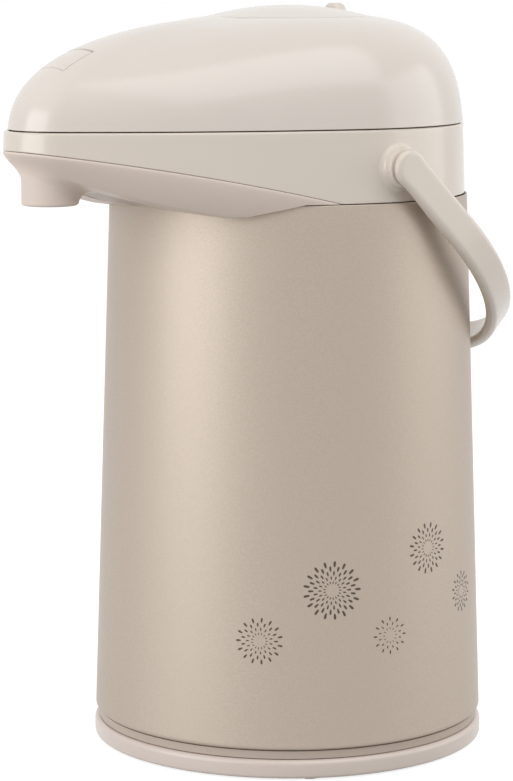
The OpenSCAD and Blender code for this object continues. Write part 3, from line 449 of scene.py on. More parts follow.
# %% [markdown]
# ## The metal case
#
# The case is one sheet: rolled in under the lower edge, straight and slightly tapered, and turned
# over a little at the top, where the plastic shoulder stands inside it. The half section is drawn
# as the sheet really runs, outside and inside, so the thin edge at the top is the true thickness.
# %% Case
CASE_LOW_R, CASE_HIGH_R = 89.0, 81.0
CASE_LOW, CASE_TOP = 13.0, 250.6
SHEET, HEM_R, HEM_Z, HEM_IN, HEM_OUT = 0.8, 2.0, 15.4, 82.4, 86.0
TAPER = (CASE_HIGH_R - CASE_LOW_R) / (CASE_TOP - CASE_LOW)


def case_r(z):
    """Outer radius of the case at a height."""
    return CASE_LOW_R + TAPER * (z - CASE_LOW)


hem = arc(case_r(HEM_Z) - HEM_R, HEM_Z, HEM_R, -80, 0, 8)
low, high = 16.0, CASE_TOP - 0.5
outside = [(case_r(z), z) for z in [low + (high - low) * i / 24 for i in range(25)]]
bend = SHEET / 2
lip = arc(CASE_HIGH_R - bend, CASE_TOP - bend, bend, 20, 160, 5)
inside = [(r - SHEET, z) for r, z in reversed(outside)]
floor_of_hem = [(HEM_OUT, CASE_LOW + SHEET), (HEM_IN, CASE_LOW + SHEET)]
case_profile = [(HEM_IN, CASE_LOW), *hem, *outside, *lip, *inside, *floor_of_hem]
dress(turned("case", case_profile, lacquer, 288), lacquer, "pot", "case_metal", "outer_case")

# %% [markdown]
# ## The turning base
#
# The ring under the pot is a shallow moulded dish with round edges, ribs between hub and rim, and
# soft feet. The dish is turned like the case. Ribs and feet repeat round the axis, so a second tree
# makes them: one copy, a count, and an even turn between copies.
# %% The repeating tree, base ring, ribs and feet
repeating, given = tree_with_inputs("repeat_round_the_axis", {"Count": "Int", "Start": "Float"})
do = calculator(repeating)
marks = get(repeating, "GeometryNodeMeshLine", {"Count": given["Count"], "Offset": (0.0, 0.0, 0.0)})
number = get(repeating, "GeometryNodeInputIndex")
own_turn = do("MULTIPLY", number, do("DIVIDE", FULL, given["Count"]))
facing = get(repeating, "ShaderNodeCombineXYZ", {2: do("ADD", own_turn, given["Start"])})
copy = {"Points": marks, "Instance": given["Geometry"], "Rotation": facing}
copies = get(repeating, "GeometryNodeInstanceOnPoints", copy)
end_tree(repeating, copies, given["Material"])


def repeated(piece, count, start, material):
    """Repeats a piece evenly round the upright axis, from the start angle in degrees."""
    return grow(piece, repeating, {"Count": count, "Start": math.radians(start), "Material": material})


def prism(name, side, low, high, axis):
    """A closed bar with the section side, drawn along axis x or z from low to high."""
    points = [(t, *p) if axis == "x" else (*p, t) for t in (low, high) for p in side]
    n = len(side)
    faces = [*ring_faces(n, 2, False), tuple(range(n)), tuple(range(2 * n - 1, n - 1, -1))]
    return from_faces(name, points, faces)


def join(piece, *others):
    """Adds the meshes of others to piece and removes them."""

    def work(mesh):
        for other in others:
            mesh.from_mesh(other.data)

    rework(piece, work)
    for other in others:
        bpy.data.objects.remove(other)
    return piece


RING_R, RING_TOP = 89.4, 9.2
RIM_IN, HUB_OUT, HUB_BORE, DISH_IN = RING_R - 5, 20.0, 15.9, 72.0
ring_profile = [
    *arc(RING_R - 1.6, 2.6, 1.6, -90, 0, 7),
    *arc(RING_R - 2.2, RING_TOP - 2.2, 2.2, 0, 90, 9),
    *[(RIM_IN, RING_TOP), (RIM_IN, 5.5), (HUB_OUT, 5.5), (HUB_OUT, 8.6)],
    *[(HUB_BORE, 8.6), (HUB_BORE, 3.6), (DISH_IN, 3.6), (DISH_IN, 1.0)],
]
base_ring = turned("base_ring", ring_profile, base_abs, 256)
rib = prism("rib", [(25, -1), (71.9, -1), (71.9, 1), (25, 1)], 2.2, 4.0, "z")
ribs = repeated(rib, 12, 0, base_abs)
dress(join(base_ring, ribs), base_abs, "turntable", "base_plastic", "turntable_ring")
FOOT_R, FOOT_PLACE, FOOT_H = 6.0, 80.0, 1.0
pad_steps = [(FOOT_R - 2.2, 0.35), (FOOT_R - 1.8, 0.0), (FOOT_R - 0.45, 0.0), (FOOT_R - 0.1, 0.12)]
pad_steps = [(0.0, 0.35), *pad_steps, (FOOT_R, 0.4), (FOOT_R, FOOT_H), (0.0, FOOT_H)]
pad_rings = [[(x, y, z) for x, y in circle(r, 40, FOOT_PLACE)] for r, z in pad_steps]
pads = repeated(from_rings("feet_pads", pad_rings), 6, 30, grey_rubber)
dress(pads, grey_rubber, "turntable", "rubber_dark", "feet")

# %% [markdown]
# ## The outline of the head
#
# Shoulder, spout panel and lid share one outline seen from above: a round rear, a round nose and two
# long flank curves that touch both. It is walked by the direction the edge faces, so the same
# direction on a smaller outline is the point straight inside. That makes every wall, rounded edge
# and step an even band. The flanks face nearly one way, so they get the finest steps.
# %% Outline, seam and underside
FLANK_R, NOSE_REACH = 320.0, 118.7
LID_Z = 282.4
SEAM_START, SEAM_SLOPE, SEAM_BOW, SEAM_GAP = -26.5, math.tan(math.radians(14)), 0.00045, 0.08
UNDER_START, UNDER_SLOPE, UNDER_BOW = -61.6, math.tan(math.radians(10)), 0.00136
UNDER_DROP = 6.9


def flank_centre(rear_r, nose_r):
    """Centre of the flank arc that touches the rear and the nose circle."""
    y = ((FLANK_R - nose_r) ** 2 - (FLANK_R - rear_r) ** 2 - NOSE_REACH**2) / (2 * NOSE_REACH)
    return math.sqrt((FLANK_R - rear_r) ** 2 - y * y), y


def directions(rear_r, nose_r):
    """Directions in degrees, once round the outline from the nose tip."""
    fx, fy = flank_centre(rear_r, nose_r)
    to_flank = math.degrees(math.atan2(-NOSE_REACH - fy, fx))
    to_rear = math.degrees(math.atan2(-fy, fx))
    right = [*spread(-90, to_flank, 26), *spread(to_flank, to_rear, 46)]
    right += [*spread(to_rear, 90, 66), 90.0]
    return right + [180 - a for a in reversed(right[1:-1])]


def outline(direction, rear_r, nose_r, inset=0.0):
    """Point of the outline that faces a direction, and the y where its normal meets x = 0."""
    fx, fy = flank_centre(rear_r, nose_r)
    side = 1 if cosd(direction) >= 0 else -1
    b = math.asin(sind(direction))
    if b >= math.atan2(-fy, fx):
        cx, cy, r, middle = 0.0, 0.0, rear_r, 0.0
    elif b >= math.atan2(-NOSE_REACH - fy, fx):
        cx, cy, r, middle = -fx, fy, FLANK_R, fy + fx * math.tan(b)
    else:
        cx, cy, r, middle = 0.0, -NOSE_REACH, nose_r, -NOSE_REACH
    return side * (cx + (r - inset) * math.cos(b)), cy + (r - inset) * math.sin(b), middle


def seam_at(y):
    """Height of the bowed seam between the shoulder and the spout panel."""
    t = SEAM_START - min(y, -5.0)
    return CASE_TOP + t * SEAM_SLOPE - SEAM_BOW * t * t


def under_at(y):
    """Height of the underside of the nose."""
    t = UNDER_START - min(y, -20.0)
    return CASE_TOP - UNDER_DROP + t * UNDER_SLOPE + UNDER_BOW * t * t


def draft(z):
    """Inward lean of the shoulder wall at a height, as a mould needs it."""
    steps = [(CASE_TOP + 0.5, -0.8), (CASE_TOP + 19.08, -0.2), (LID_Z - 0.4, 0.3)]
    for (z0, d0), (z1, d1) in zip(steps, steps[1:]):
        if z < z1:
            return d0 + (d1 - d0) * max(0.0, (z - z0) / (z1 - z0))
    return 0.3


HEAD_R, HEAD_NOSE_R = HEAD = 79.2, 27.3
head_turns = directions(*HEAD)
print("outline points:", len(head_turns), "nose tip y:", round(outline(-90, *HEAD)[1], 1))

# %% [markdown]
# ## The shoulder
#
# The shoulder is a moulded band between the case and the lid. Its upper rim is rounded, which gives
# the thin light line under the lid seam, and its lower edge follows the case at the rear and the
# bowed seam over the spout panel. The wall could be cut from a full band, but then the seam edge
# would be knife-sharp, so each column of the band starts at its own seam height and is rounded there.
# %% Shoulder band and pivot bosses
WALL, SOFT = 2.4, 2.4
PIVOT_Z, HUB_R, BORE_R = 265.8, 8.0, 5.3
BOSS_X, BOSS_IN = 84.6, HEAD_R - 3.6


def from_columns(name, columns):
    """A closed piece from closed sections, whose points with the same number make a ring."""
    return from_rings(name, list(zip(*columns)))


def combine(piece, tool, how="DIFFERENCE"):
    """Cuts piece with tool by an exact boolean, or keeps what both share, and removes tool."""
    step = piece.modifiers.new(how, "BOOLEAN")
    step.operation, step.solver, step.object = how, "EXACT", tool
    apply_steps(piece)
    bpy.data.objects.remove(tool)


def shoulder_column(direction):
    """Closed section of the shoulder wall at one direction."""
    y = outline(direction, *HEAD)[1]
    low, top = CASE_TOP + 0.25, LID_Z - 0.15
    if y < SEAM_START:
        low = max(low, seam_at(y) + SEAM_GAP)
    steps = [(draft(low) + i, low + z) for i, z in [(0.3, 0.0), (0.1, 0.06), (0.02, 0.16), (0.0, 0.5)]]
    steps += [(draft(z), z) for z in [low + 0.5 + (top - low - 1.6) * k / 12 for k in range(1, 13)]]
    steps += [(draft(top) + 1.0 - cosd(a), top - 1.0 + sind(a)) for a in (12, 30, 48, 66, 84)]
    steps += [(WALL - 0.3, top), (WALL, top - 0.3), (WALL, low)]
    return [(*outline(direction, *HEAD, inset)[:2], z) for inset, z in steps]


def boss(side):
    """A round pivot pad that grows out of the wall in a soft fillet, with a bore for the stub."""
    sections = []
    pad = HUB_R + 0.6
    for a in spread(0, FULL, 96):
        ring = []
        for rho in [pad + SOFT - SOFT * sind(t) for t in range(0, 91, 15)]:
            y, z = spoke(rho, a, 0, PIVOT_Z)
            wall = math.sqrt((HEAD_R - draft(z)) ** 2 - y * y) - 0.03
            ring.append((wall + SOFT - math.sqrt(max(0.0, SOFT**2 - (pad + SOFT - rho) ** 2)), rho))
        ring += [(BOSS_X + x, pad - i) for x, i in [(-0.5, 0.0), (-0.15, 0.15), (0.0, 0.5)]]
        ring += [(BOSS_X, BORE_R), (BOSS_IN, BORE_R), (BOSS_IN, HUB_R), (BOSS_IN + 2, pad + SOFT)]
        sections.append([(side * x, *spoke(rho, a, 0, PIVOT_Z)) for x, rho in ring])
    return from_columns("boss", sections)


shoulder = from_columns("shoulder", [shoulder_column(a) for a in head_turns])
for side in (-1, 1):
    combine(shoulder, prism("bore", circle(BORE_R, 48, 0, PIVOT_Z), side * 70, side * 90, "x"))
dress(join(shoulder, boss(1), boss(-1)), head_abs, "pot", "head_plastic", "shoulder_housing")

# %% [markdown]
# ## The spout panel
#
# Under the seam a separate panel curls in to the underside of the nose and carries the nozzle. Each
# column is a quarter of a superellipse from the seam to the bowed underside, and from there the
# rings run in to a middle line, so the underside has no open hole. The rear is cut by the case and
# by the skirt that hangs over it, as the real panel is.
# %% Spout panel
CURL = 9.0


def panel_height(inset, lean, y, off=0.0):
    """Height of the panel's skin, a given way inside the outline."""
    c = min(max((inset - lean) / CURL, 0.0), 1.0)
    s = (1 - (1 - c) ** (4 / 3)) ** 0.75
    return max((seam_at(y) - 1) * (1 - s) + (under_at(y) + off - 0.6) * s, under_at(y) + off)


def panel_column(direction, off):
    """Points from the seam down the curl and along the underside to the middle line."""
    x, y, middle = outline(direction, *HEAD, off)
    lean = off + draft(seam_at(outline(direction, *HEAD)[1]))
    points = []
    for k in range(17):
        inset = lean + CURL * (1 - cosd(90 * k / 16) ** 1.5)
        px, py, _ = outline(direction, *HEAD, inset)
        points.append((px, py, panel_height(inset, lean, py, off)))
    for k in range(1, 7):
        qy = py + (middle - py) * k / 6
        points.append((px * (1 - k / 6), qy, under_at(qy) + off))
    if off > 0:
        return [(x, y, seam_at(y) - SEAM_GAP), *points]
    edge = []
    for inset, drop in [(0.3, SEAM_GAP), (0.1, 0.14), (0.02, 0.3)]:
        px, py, _ = outline(direction, *HEAD, lean + inset)
        edge.append((px, py, seam_at(py) - drop))
    return edge + points


columns = [panel_column(a, 0.0) + panel_column(a, WALL)[::-1] for a in head_turns]
panel = from_columns("spout_panel", columns)
combine(panel, prism("cut", circle(CASE_HIGH_R + 0.35, 256), 200, CASE_TOP + 0.1, "z"))
combine(panel, prism("cut", circle(HEAD_R + 0.5, 256), CASE_TOP - 1, 330, "z"))
SKIRT, SKIRT_TOP = CASE_TOP - 4.8, CASE_TOP + 0.3
skirt_line = [(-120, 200), (90, 200), (90, SKIRT_TOP), (-43, SKIRT_TOP), (-64.2, SKIRT), (-120, SKIRT)]
combine(panel, prism("cut", skirt_line, -150, 150, "x"))

# %% [markdown]
# ## The nozzle and the plate of the pipe channel
#
# The nozzle is an upright tube that grows out of the panel. Its foot blends into the curled skin,
# tightly towards the nose tip and widely on the sides, so the fillet is measured from the skin's
# own height at every angle. The mouth is rounded and opens on the bore, where the pipe ends. Behind
# it a trapezoid window is closed by a screwed plate, kept from the frame.
# %% Nozzle
NOZZLE_R, NOZZLE_Y, NOZZLE_BORE, LIP = 12.2, -127.6, 10.0, 1.2
NOZZLE_LOW, NOZZLE_TOP = CASE_TOP - 0.2, 263.0


def skin_at(x, y):
    """Height of the panel's outer skin over a point near the nozzle."""
    fx, fy = flank_centre(*HEAD)
    b = math.atan2(y + NOSE_REACH, abs(x) + 1e-9)
    if b <= math.atan2(-NOSE_REACH - fy, fx):
        inset = HEAD_NOSE_R - math.hypot(x, y + NOSE_REACH)
    else:
        inset = FLANK_R - math.hypot(abs(x) + fx, y - fy)
    return panel_height(inset, draft(seam_at(y)), y)


def nozzle_section(a):
    """Closed section of the nozzle at an angle: down the fillet, round the mouth and up the bore."""
    blend = 3.0 + 5.0 * (0.5 + 0.5 * math.sin(a)) ** 0.6
    fillet = [(blend * (1 - sind(t)), blend * (1 - cosd(t))) for t in spread(0, 90.1, 10)]
    mouth = [(NOZZLE_R - LIP * (1 - cosd(t)), LIP * (1 - sind(t))) for t in (0, 22, 45, 67, 90)]
    mouth += [(NOZZLE_BORE + 0.5, 0.0), (NOZZLE_BORE + 0.1, 0.15), (NOZZLE_BORE, 0.5)]
    tube = [(r, NOZZLE_LOW + up) for r, up in mouth] + [(NOZZLE_BORE, NOZZLE_TOP)]

    def on_skin(away, up):
        x, y = spoke(NOZZLE_R + away, a, 0, NOZZLE_Y)
        return x, y, skin_at(x, y) + up

    foot = [on_skin(away, 0.03 - drop) for away, drop in fillet]
    return [*foot, *[(*spoke(r, a, 0, NOZZLE_Y), z) for r, z in tube], on_skin(blend, 1.4)]


nozzle = from_columns("nozzle", [nozzle_section(a) for a in spread(0, FULL, 120)])
HOLE_R, LEDGE = 11.2, 1.6
combine(panel, prism("cut", circle(HOLE_R, 64, 0, NOZZLE_Y), 240, 290, "z"))
front, rear = 7.7 - NOSE_REACH, 31.7 - NOSE_REACH
fall = (under_at(front - LEDGE) - under_at(rear + LEDGE)) / (rear - front + 2 * LEDGE)
start = under_at(front - LEDGE) - fall * LEDGE
lean = math.atan(fall)
down, out = math.sin(lean), math.cos(lean)
window = [
    (x, front + run * out + depth * down, start - run * down + depth * out)
    for depth in (-4.0, 6.0)
    for x, run in [(-12, 0), (12, 0), (20, 24.5), (-20, 24.5)]
]
sides = [(0, 1, 2, 3), (7, 6, 5, 4), (0, 4, 5, 1), (1, 5, 6, 2), (2, 6, 7, 3), (3, 7, 4, 0)]
combine(panel, from_faces("cut", window, sides))
dress(join(panel, nozzle), panel_abs_painted_light, "pot", "head_plastic", "spout_panel")

# %% [markdown]
# ## The lid
#
# The lid is a long dome over its own outline, a little inside the shoulder's. At the rear it is
# nearly a squared ellipse with an upright side, over the nose it is low and drawn out, so the two
# exponents of a superellipse change from rear to nose. Every column runs straight to the middle in
# plan, which lets each one stop exactly on the round well of the push plate. The inner skin follows
# 2.2 mm inside, and the well wall joins both.
# %% Lid shell
LID_R, LID_NOSE_R, LID_H, LID_WALL = 79.0, 25.4, 48.3, 2.2
LID = (LID_R, LID_NOSE_R)
WELL_R, WELL_OUT, WELL_LOW = 37.8, 39.9, LID_Z + 8.6
REAR_FORM = {"round": 4.0, "lift": 2.92, "lean": 0.063}
NOSE_FORM = {"round": 2.37, "lift": 2.48, "lean": 0.044}


def dome(direction, off):
    """A function of the polar angle that gives the points of one column of the dome."""
    x, y, _ = outline(direction, *LID, off)
    way = (math.hypot(x, y) - LID_R + off) / (NOSE_REACH + LID_NOSE_R - LID_R)
    share = 1 - (1 - min(max(way, 0.0), 1.0)) ** 3
    form = {k: v + (NOSE_FORM[k] - v) * share for k, v in REAR_FORM.items()}

    def point(t):
        h = max(cosd(t), 0.0) ** (2 / form["lift"])
        k = sind(t) ** (2 / form["round"]) * (1 - form["lean"] * h)
        return x * k, y * k, LID_Z + (LID_H - off) * h

    return point


def find(point, low, high, test):
    """The polar angle between low and high at which test of the point turns true."""
    for _ in range(40):
        middle = (low + high) / 2
        low, high = (low, middle) if test(point(middle)) else (middle, high)
    return (low + high) / 2


def lid_skin(direction, off, well, count):
    """Points of one skin of the lid, from just above the rim over the dome to the well."""
    point = dome(direction, off)
    foot = find(point, 60, 90, lambda p: p[2] < LID_Z + 0.9)
    stop = find(point, 1, foot, lambda p: math.hypot(p[0], p[1]) > well)
    return [point(foot + (stop - foot) * (k / count) ** 1.35) for k in range(count + 1)]


def lid_column(direction):
    """Closed section of the lid at one direction: rim, dome, well and inner skin."""

    def on_rim(inset, up):
        return *outline(direction, *LID, inset)[:2], LID_Z + up

    rim = [on_rim(0.5, 0.3), on_rim(0.2, 0.36), on_rim(0.05, 0.55)]
    outer = lid_skin(direction, 0.0, WELL_R + 0.7, 54)
    x, y, z = outer[-1]
    ux, uy = x / math.hypot(x, y), y / math.hypot(x, y)
    edge = [(WELL_R + 0.35, z - 0.08), (WELL_R + 0.1, z - 0.3), (WELL_R, z - 0.7)]
    edge += [(WELL_R, WELL_LOW), (WELL_OUT, WELL_LOW)]
    well = [(ux * r, uy * r, h) for r, h in edge]
    inner = lid_skin(direction, LID_WALL, WELL_OUT, 20)[::-1]
    return [*rim, *outer, *well, *inner, on_rim(LID_WALL, 0.3)]


def rounded_box(low, high, radius):
    """A box with rounded edges, from its corners in millimetres."""
    xs, ys, zs = zip(low, high)
    corners = [(x, y, z) for x in xs for y in ys for z in zs]
    sides = [(0, 1, 3, 2), (4, 6, 7, 5), (0, 4, 5, 1), (2, 3, 7, 6), (0, 2, 6, 4), (1, 5, 7, 3)]
    how = {"offset": 0.001 * radius, "segments": 4, "profile": 0.5, "affect": "EDGES"}
    box = from_faces("box", corners, sides)
    return rework(box, lambda mesh: bmesh.ops.bevel(mesh, geom=mesh.edges[:], **how))


columns = [lid_column(a) for a in directions(*LID)]
lid, latch = [from_columns(name, columns) for name in ("lid", "latch")]
LATCH_Y, LATCH_Z = -127.0, LID_Z + 20.1
combine(lid, rounded_box((-9.3, LATCH_Y + 0.8, LATCH_Z), (9.3, LATCH_Y + 16.9, 345), 0.6))
combine(lid, rounded_box((-8.4, 60, LID_Z - 0.6), (8.4, 95, LID_Z + 5.8), 0.5))
dress(lid, lid_abs, "lid", "head_plastic", "lid_cover")

# %% [markdown]
# ## The latch
#
# The latch is a button cut out of the same dome, so it is the same shell met with a smaller box.
# Under it hangs the hook that reaches the keeper in the deck, a bent bar drawn from its side view.
# %% Latch
combine(latch, rounded_box((-9, LATCH_Y + 1.2, LATCH_Z), (9, LATCH_Y + 15.6, 345), 0.6), "INTERSECT")
HOOK_LOW, PIN_R = LID_Z - 4.4, 1.65
claw = [(-9.5, HOOK_LOW), (-5, HOOK_LOW), (-5, HOOK_LOW + 2), (-6.4, HOOK_LOW + 2)]
lever = [(-6.4, -10.5), (2, -3), (3.4, 5.2), (-1, 1.6), (-4, -2), (-9.5, -9)]
hook_line = [(LATCH_Y + y, z) for y, z in claw + [(y, LATCH_Z + z) for y, z in lever]]
hook = prism("hook", hook_line, -5, 5, "x")
combine(hook, prism("pin", circle(PIN_R, 32, LATCH_Y, LATCH_Z), -6, 6, "x"))
dress(join(latch, hook), lid_abs, "latch", "head_plastic", "lid_latch")

# %% [markdown]
# ## The push plate and its lock
#
# The plate is a shallow cap with a rounded rim and a skirt that slides in the well. It is turned,
# then the slot of the lock is cut through its rear half. The lock is a small loaf-shaped ridge that
# the thumb slides towards the nose. It leans in on all sides, so it is a stack of rounded squares
# that get smaller, on a foot that stays under the plate.
# %% Push plate and lock
PLATE_R, PLATE_RISE, PLATE_WALL = 37.3, 5.2, 2.5
SKIRT_IN, CROWN_R = 35.0, PLATE_R - 1.2
PLATE_TOP = LID_Z + LID_H + 4
PLATE_EDGE = PLATE_TOP - PLATE_RISE
PLATE_LOW = PLATE_EDGE - 13


def plate_z(r):
    """Height of the push plate at a radius."""
    return PLATE_EDGE + PLATE_RISE * (1 - (r / PLATE_R) ** 2)


rim = [(CROWN_R + 1.2 * cosd(a), plate_z(CROWN_R) - 1.0 + sind(a)) for a in range(0, 76, 15)]
crown = [(r, plate_z(r)) for r in [CROWN_R - CROWN_R * k / 24 for k in range(25)]]
below = [(r, plate_z(r) - PLATE_WALL) for r in [SKIRT_IN * k / 12 for k in range(13)]]
plate_profile = [(PLATE_R, PLATE_LOW), *rim, *crown, *below, (SKIRT_IN, PLATE_LOW)]
plate = turned("push_plate", plate_profile, lid_abs, 192)
LOCK_Y = 22.6
slot = rounded_box((-5.3, LOCK_Y - 4.3, PLATE_EDGE - 4), (5.3, LOCK_Y + 8.3, PLATE_EDGE + 12), 0.4)
combine(plate, slot)
dress(plate, lid_abs, "press", "head_plastic", "push_plate")
square = [tuple(math.copysign(abs(c) ** 0.5, c) for c in p) for p in circle(1, 56)]
LOAF_X, LOAF_Y, LOAF_TOP = 5, 4, PLATE_TOP + 0.7
loaf_steps = [(0, 9.1), (1, 9.1), (1, 3.6), (0.95, 2.7), (0.84, 1.6)]
loaf_steps += [(0.72, 0.75), (0.6, 0.25), (0.46, 0.03), (0, 0)]
loaf = []
for share, down in loaf_steps:
    ring = [(share * x, share * y) for x, y in square]
    loaf.append([(LOAF_X * x, LOCK_Y + LOAF_Y * (1 + y), LOAF_TOP - down) for x, y in ring])
lock = from_rings("lock", loaf)
foot = rounded_box((-7.5, LOCK_Y - 2.4, PLATE_EDGE - 4.6), (7.5, LOCK_Y + 9.4, PLATE_EDGE - 3.0), 0.3)
dress(join(lock, foot), lid_abs, "lock", "head_plastic", "lock_knob")

# %% [markdown]
# ## The carrying handle
#
# The handle is one flat bar with soft edges, two straight arms and a half circle, and its ends are
# rounded round the pivots. It could be a curve with a bevelled section, but then the round ends
# would need caps. Instead the bar is drawn flat as a long capsule with inset rings, like a pillow,
# and each point is then carried onto the bent path: along the arm, and round the half circle.
# %% Handle
HANDLE_R, HANDLE_T, HANDLE_HALF, ARM, EDGE = 89.0, 5.8, 7.6, 40.6, 2.3
HUB_IN = BOSS_X + 0.3
HANG = math.radians(-43.6)
PATH = math.pi * HANDLE_R
LENGTH = 2 * ARM + PATH


def on_path(s, w, depth):
    """Bends a point of the flat bar, s along it, w across it and depth below its face, into place."""
    along = min(s, LENGTH - s)
    thick = HANDLE_R - HUB_IN + (HANDLE_T - HANDLE_R + HUB_IN) * min(max((along - 11) / 13, 0.0), 1.0)
    r = HANDLE_R - depth * thick / HANDLE_T
    if s < ARM:
        x, y = r, s
    elif s > ARM + PATH:
        x, y = -r, LENGTH - s
    else:
        a = (s - ARM) / HANDLE_R
        x, y = spoke(r, a, 0, ARM)
    down, back = math.sin(HANG), math.cos(HANG)
    return x, y * back - w * down, PIVOT_Z + y * down + w * back


def capsule(inset):
    """Points of the flat outline, inset evenly, with half-circle ends round the pivots."""
    end = max(HUB_R - inset, 0.0)
    half = []
    for k in range(201):
        s = LENGTH * k / 200
        band = HANDLE_HALF + (HUB_R - HANDLE_HALF) * max(0.0, 1 - min(s, LENGTH - s) / 9) ** 2
        half.append((s, max(band - inset, 0.0)))
    cap = arc(0, 0, end, 90, 270, 24)[1:-1]
    right = [(LENGTH - x, w) for x, w in cap]
    return [*half, *right, *[(s, -w) for s, w in reversed(half)], *reversed(cap)]


layers = [(HUB_R, 0.0), (5.0, 0.0), (EDGE + 1.0, 0.0)]
layers += [(EDGE * (1 - sind(a)), EDGE * (1 - cosd(a))) for a in range(0, 91, 18)]
layers += [(inset, HANDLE_T - depth) for inset, depth in reversed(layers)]
points = [on_path(s, w, depth) for inset, depth in layers for s, w in capsule(inset)]
handle = from_faces("handle", points, ring_faces(len(capsule(0)), len(layers), False))
STUB, STUB_R, STUB_BORE = HEAD_R - 3.9, 5.0, 1.6
half_section = [(STUB, STUB_BORE), (STUB, STUB_R - 0.4), (STUB + 0.4, STUB_R)]
half_section += [(HUB_IN + 0.5, STUB_R), (HUB_IN + 0.5, STUB_BORE)]
for side in (-1, 1):
    rings = [[(side * x, y, z) for y, z in circle(r, 64, 0, PIVOT_Z)] for x, r in half_section]
    join(handle, from_rings("stub", rings))
dress(handle, head_abs, "handle", "head_plastic", "handle_bail")

# %% [markdown]
# ## The pump inside
#
# The bellows is silicone moulded in folds, and the spring inside it is one round wire. Both shorten
# along the axis to 9 of their 29 mm when the plate is pressed; here each is drawn at full length on a
# mesh of its own. The folds are turned from a wave whose crests are a little broader than its valleys.
# %% Bellows and spring
SEAT, PISTON = LID_Z + 5.6, LID_Z + 34.6
FOLDS, BELLOWS_R, VALLEY, NECK, SILICONE = 5, 33.0, 28.0, 24.5, 1.2
fold = (PISTON - SEAT - 2 * SILICONE) / FOLDS
wave = []
for k in range(FOLDS * 12 + 1):
    swing = 0.5 - 0.5 * math.cos(FULL * k / 12)
    wave.append((VALLEY + (BELLOWS_R - VALLEY) * swing**0.8, SEAT + SILICONE + fold * k / 12))
folds = [(VALLEY, SEAT), *wave, (VALLEY, PISTON), (NECK, PISTON), (NECK, PISTON - SILICONE)]
folds += [*[(r - 1.0, z) for r, z in reversed(wave)], (NECK, SEAT + SILICONE), (NECK, SEAT)]
bellows = turned("bellows", folds, silicone, 128)
dress(bellows, silicone, "lid", "rubber_light", "bellows")
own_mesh(bellows)
SPRING_R, WIRE, TURNS, STEPS, AROUND = 20.6, 0.8, 6, 36, 10
points = []
for i in range(TURNS * STEPS + 1):
    a = FULL * i / STEPS
    rise = (PISTON - SEAT - 2 * WIRE - 0.1) * i / (TURNS * STEPS)
    for r, z in circle(WIRE, AROUND, SPRING_R, SEAT + WIRE + 0.05 + rise):
        points.append((*spoke(r, a), z))
faces = ring_faces(AROUND, TURNS * STEPS + 1, False)
faces += [tuple(range(AROUND)), tuple(range(len(points) - 1, len(points) - AROUND - 1, -1))]
spring = dress(from_faces("spring", points, faces), steel, "lid", "steel", "return_spring")
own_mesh(spring)

# %% [markdown]
# ## The print on the case
#
# A few small sunbursts are screen-printed low on the case. Each one is rings of short dashes that
# grow towards the rim, a plain ornament. A tree makes them: points are counted off round by round,
# each gets a dash turned to face outwards, and the flat drawing is then rolled onto the cone of the
# case. The ink stands 0.06 mm proud, a thick film that still catches light at its edges.
# %% The sunburst tree
values = {"Rounds": "Int", "Dashes": "Int", "Size": "Float", "Turn": "Float", "Height": "Float"}
burst, given = tree_with_inputs("sunburst_on_the_case", values)
do = calculator(burst)
total = do("MULTIPLY", given["Rounds"], given["Dashes"])
spots = get(burst, "GeometryNodeMeshLine", {"Count": total, "Offset": (0.0, 0.0, 0.0)})
number = get(burst, "GeometryNodeInputIndex")
round_no = do("FLOOR", do("DIVIDE", do("ADD", number, 0.5), given["Dashes"]))
share = do("DIVIDE", do("ADD", round_no, 1.0), given["Rounds"])
reach = do("MULTIPLY", given["Size"], do("ADD", do("MULTIPLY", share, 0.8), 0.12))
shift = do("MULTIPLY", do("MODULO", round_no, 2.0), 0.5)
own = do("DIVIDE", do("MULTIPLY", do("ADD", number, shift), FULL), given["Dashes"])
flat_place = {"Geometry": spots, "Position": polar(burst, reach, own)}
laid = get(burst, "GeometryNodeSetPosition", flat_place)
dash_turn = get(burst, "ShaderNodeCombineXYZ", {2: own})
width = do("MULTIPLY", given["Size"], do("ADD", do("MULTIPLY", share, 85.0), 30.0))
dash_size = get(burst, "ShaderNodeCombineXYZ", {0: width, 1: width, 2: 1.0})
copy = {"Points": laid, "Instance": given["Geometry"], "Rotation": dash_turn, "Scale": dash_size}
dashes = get(burst, "GeometryNodeInstanceOnPoints", copy)
solid = get(burst, "GeometryNodeRealizeInstances", {"Geometry": dashes})
flat = parts_of(burst, get(burst, "GeometryNodeInputPosition"))
level = do("ADD", flat[1], given["Height"])
cone = do("ADD", do("MULTIPLY", do("SUBTRACT", level, 0.001 * CASE_LOW), TAPER), 0.001 * CASE_LOW_R)
angle = do("ADD", do("DIVIDE", flat[0], cone), given["Turn"])
place = polar(burst, do("ADD", cone, flat[2]), angle, level)
rolled = get(burst, "GeometryNodeSetPosition", {"Geometry": solid, "Position": place})
end_tree(burst, rolled, given["Material"])

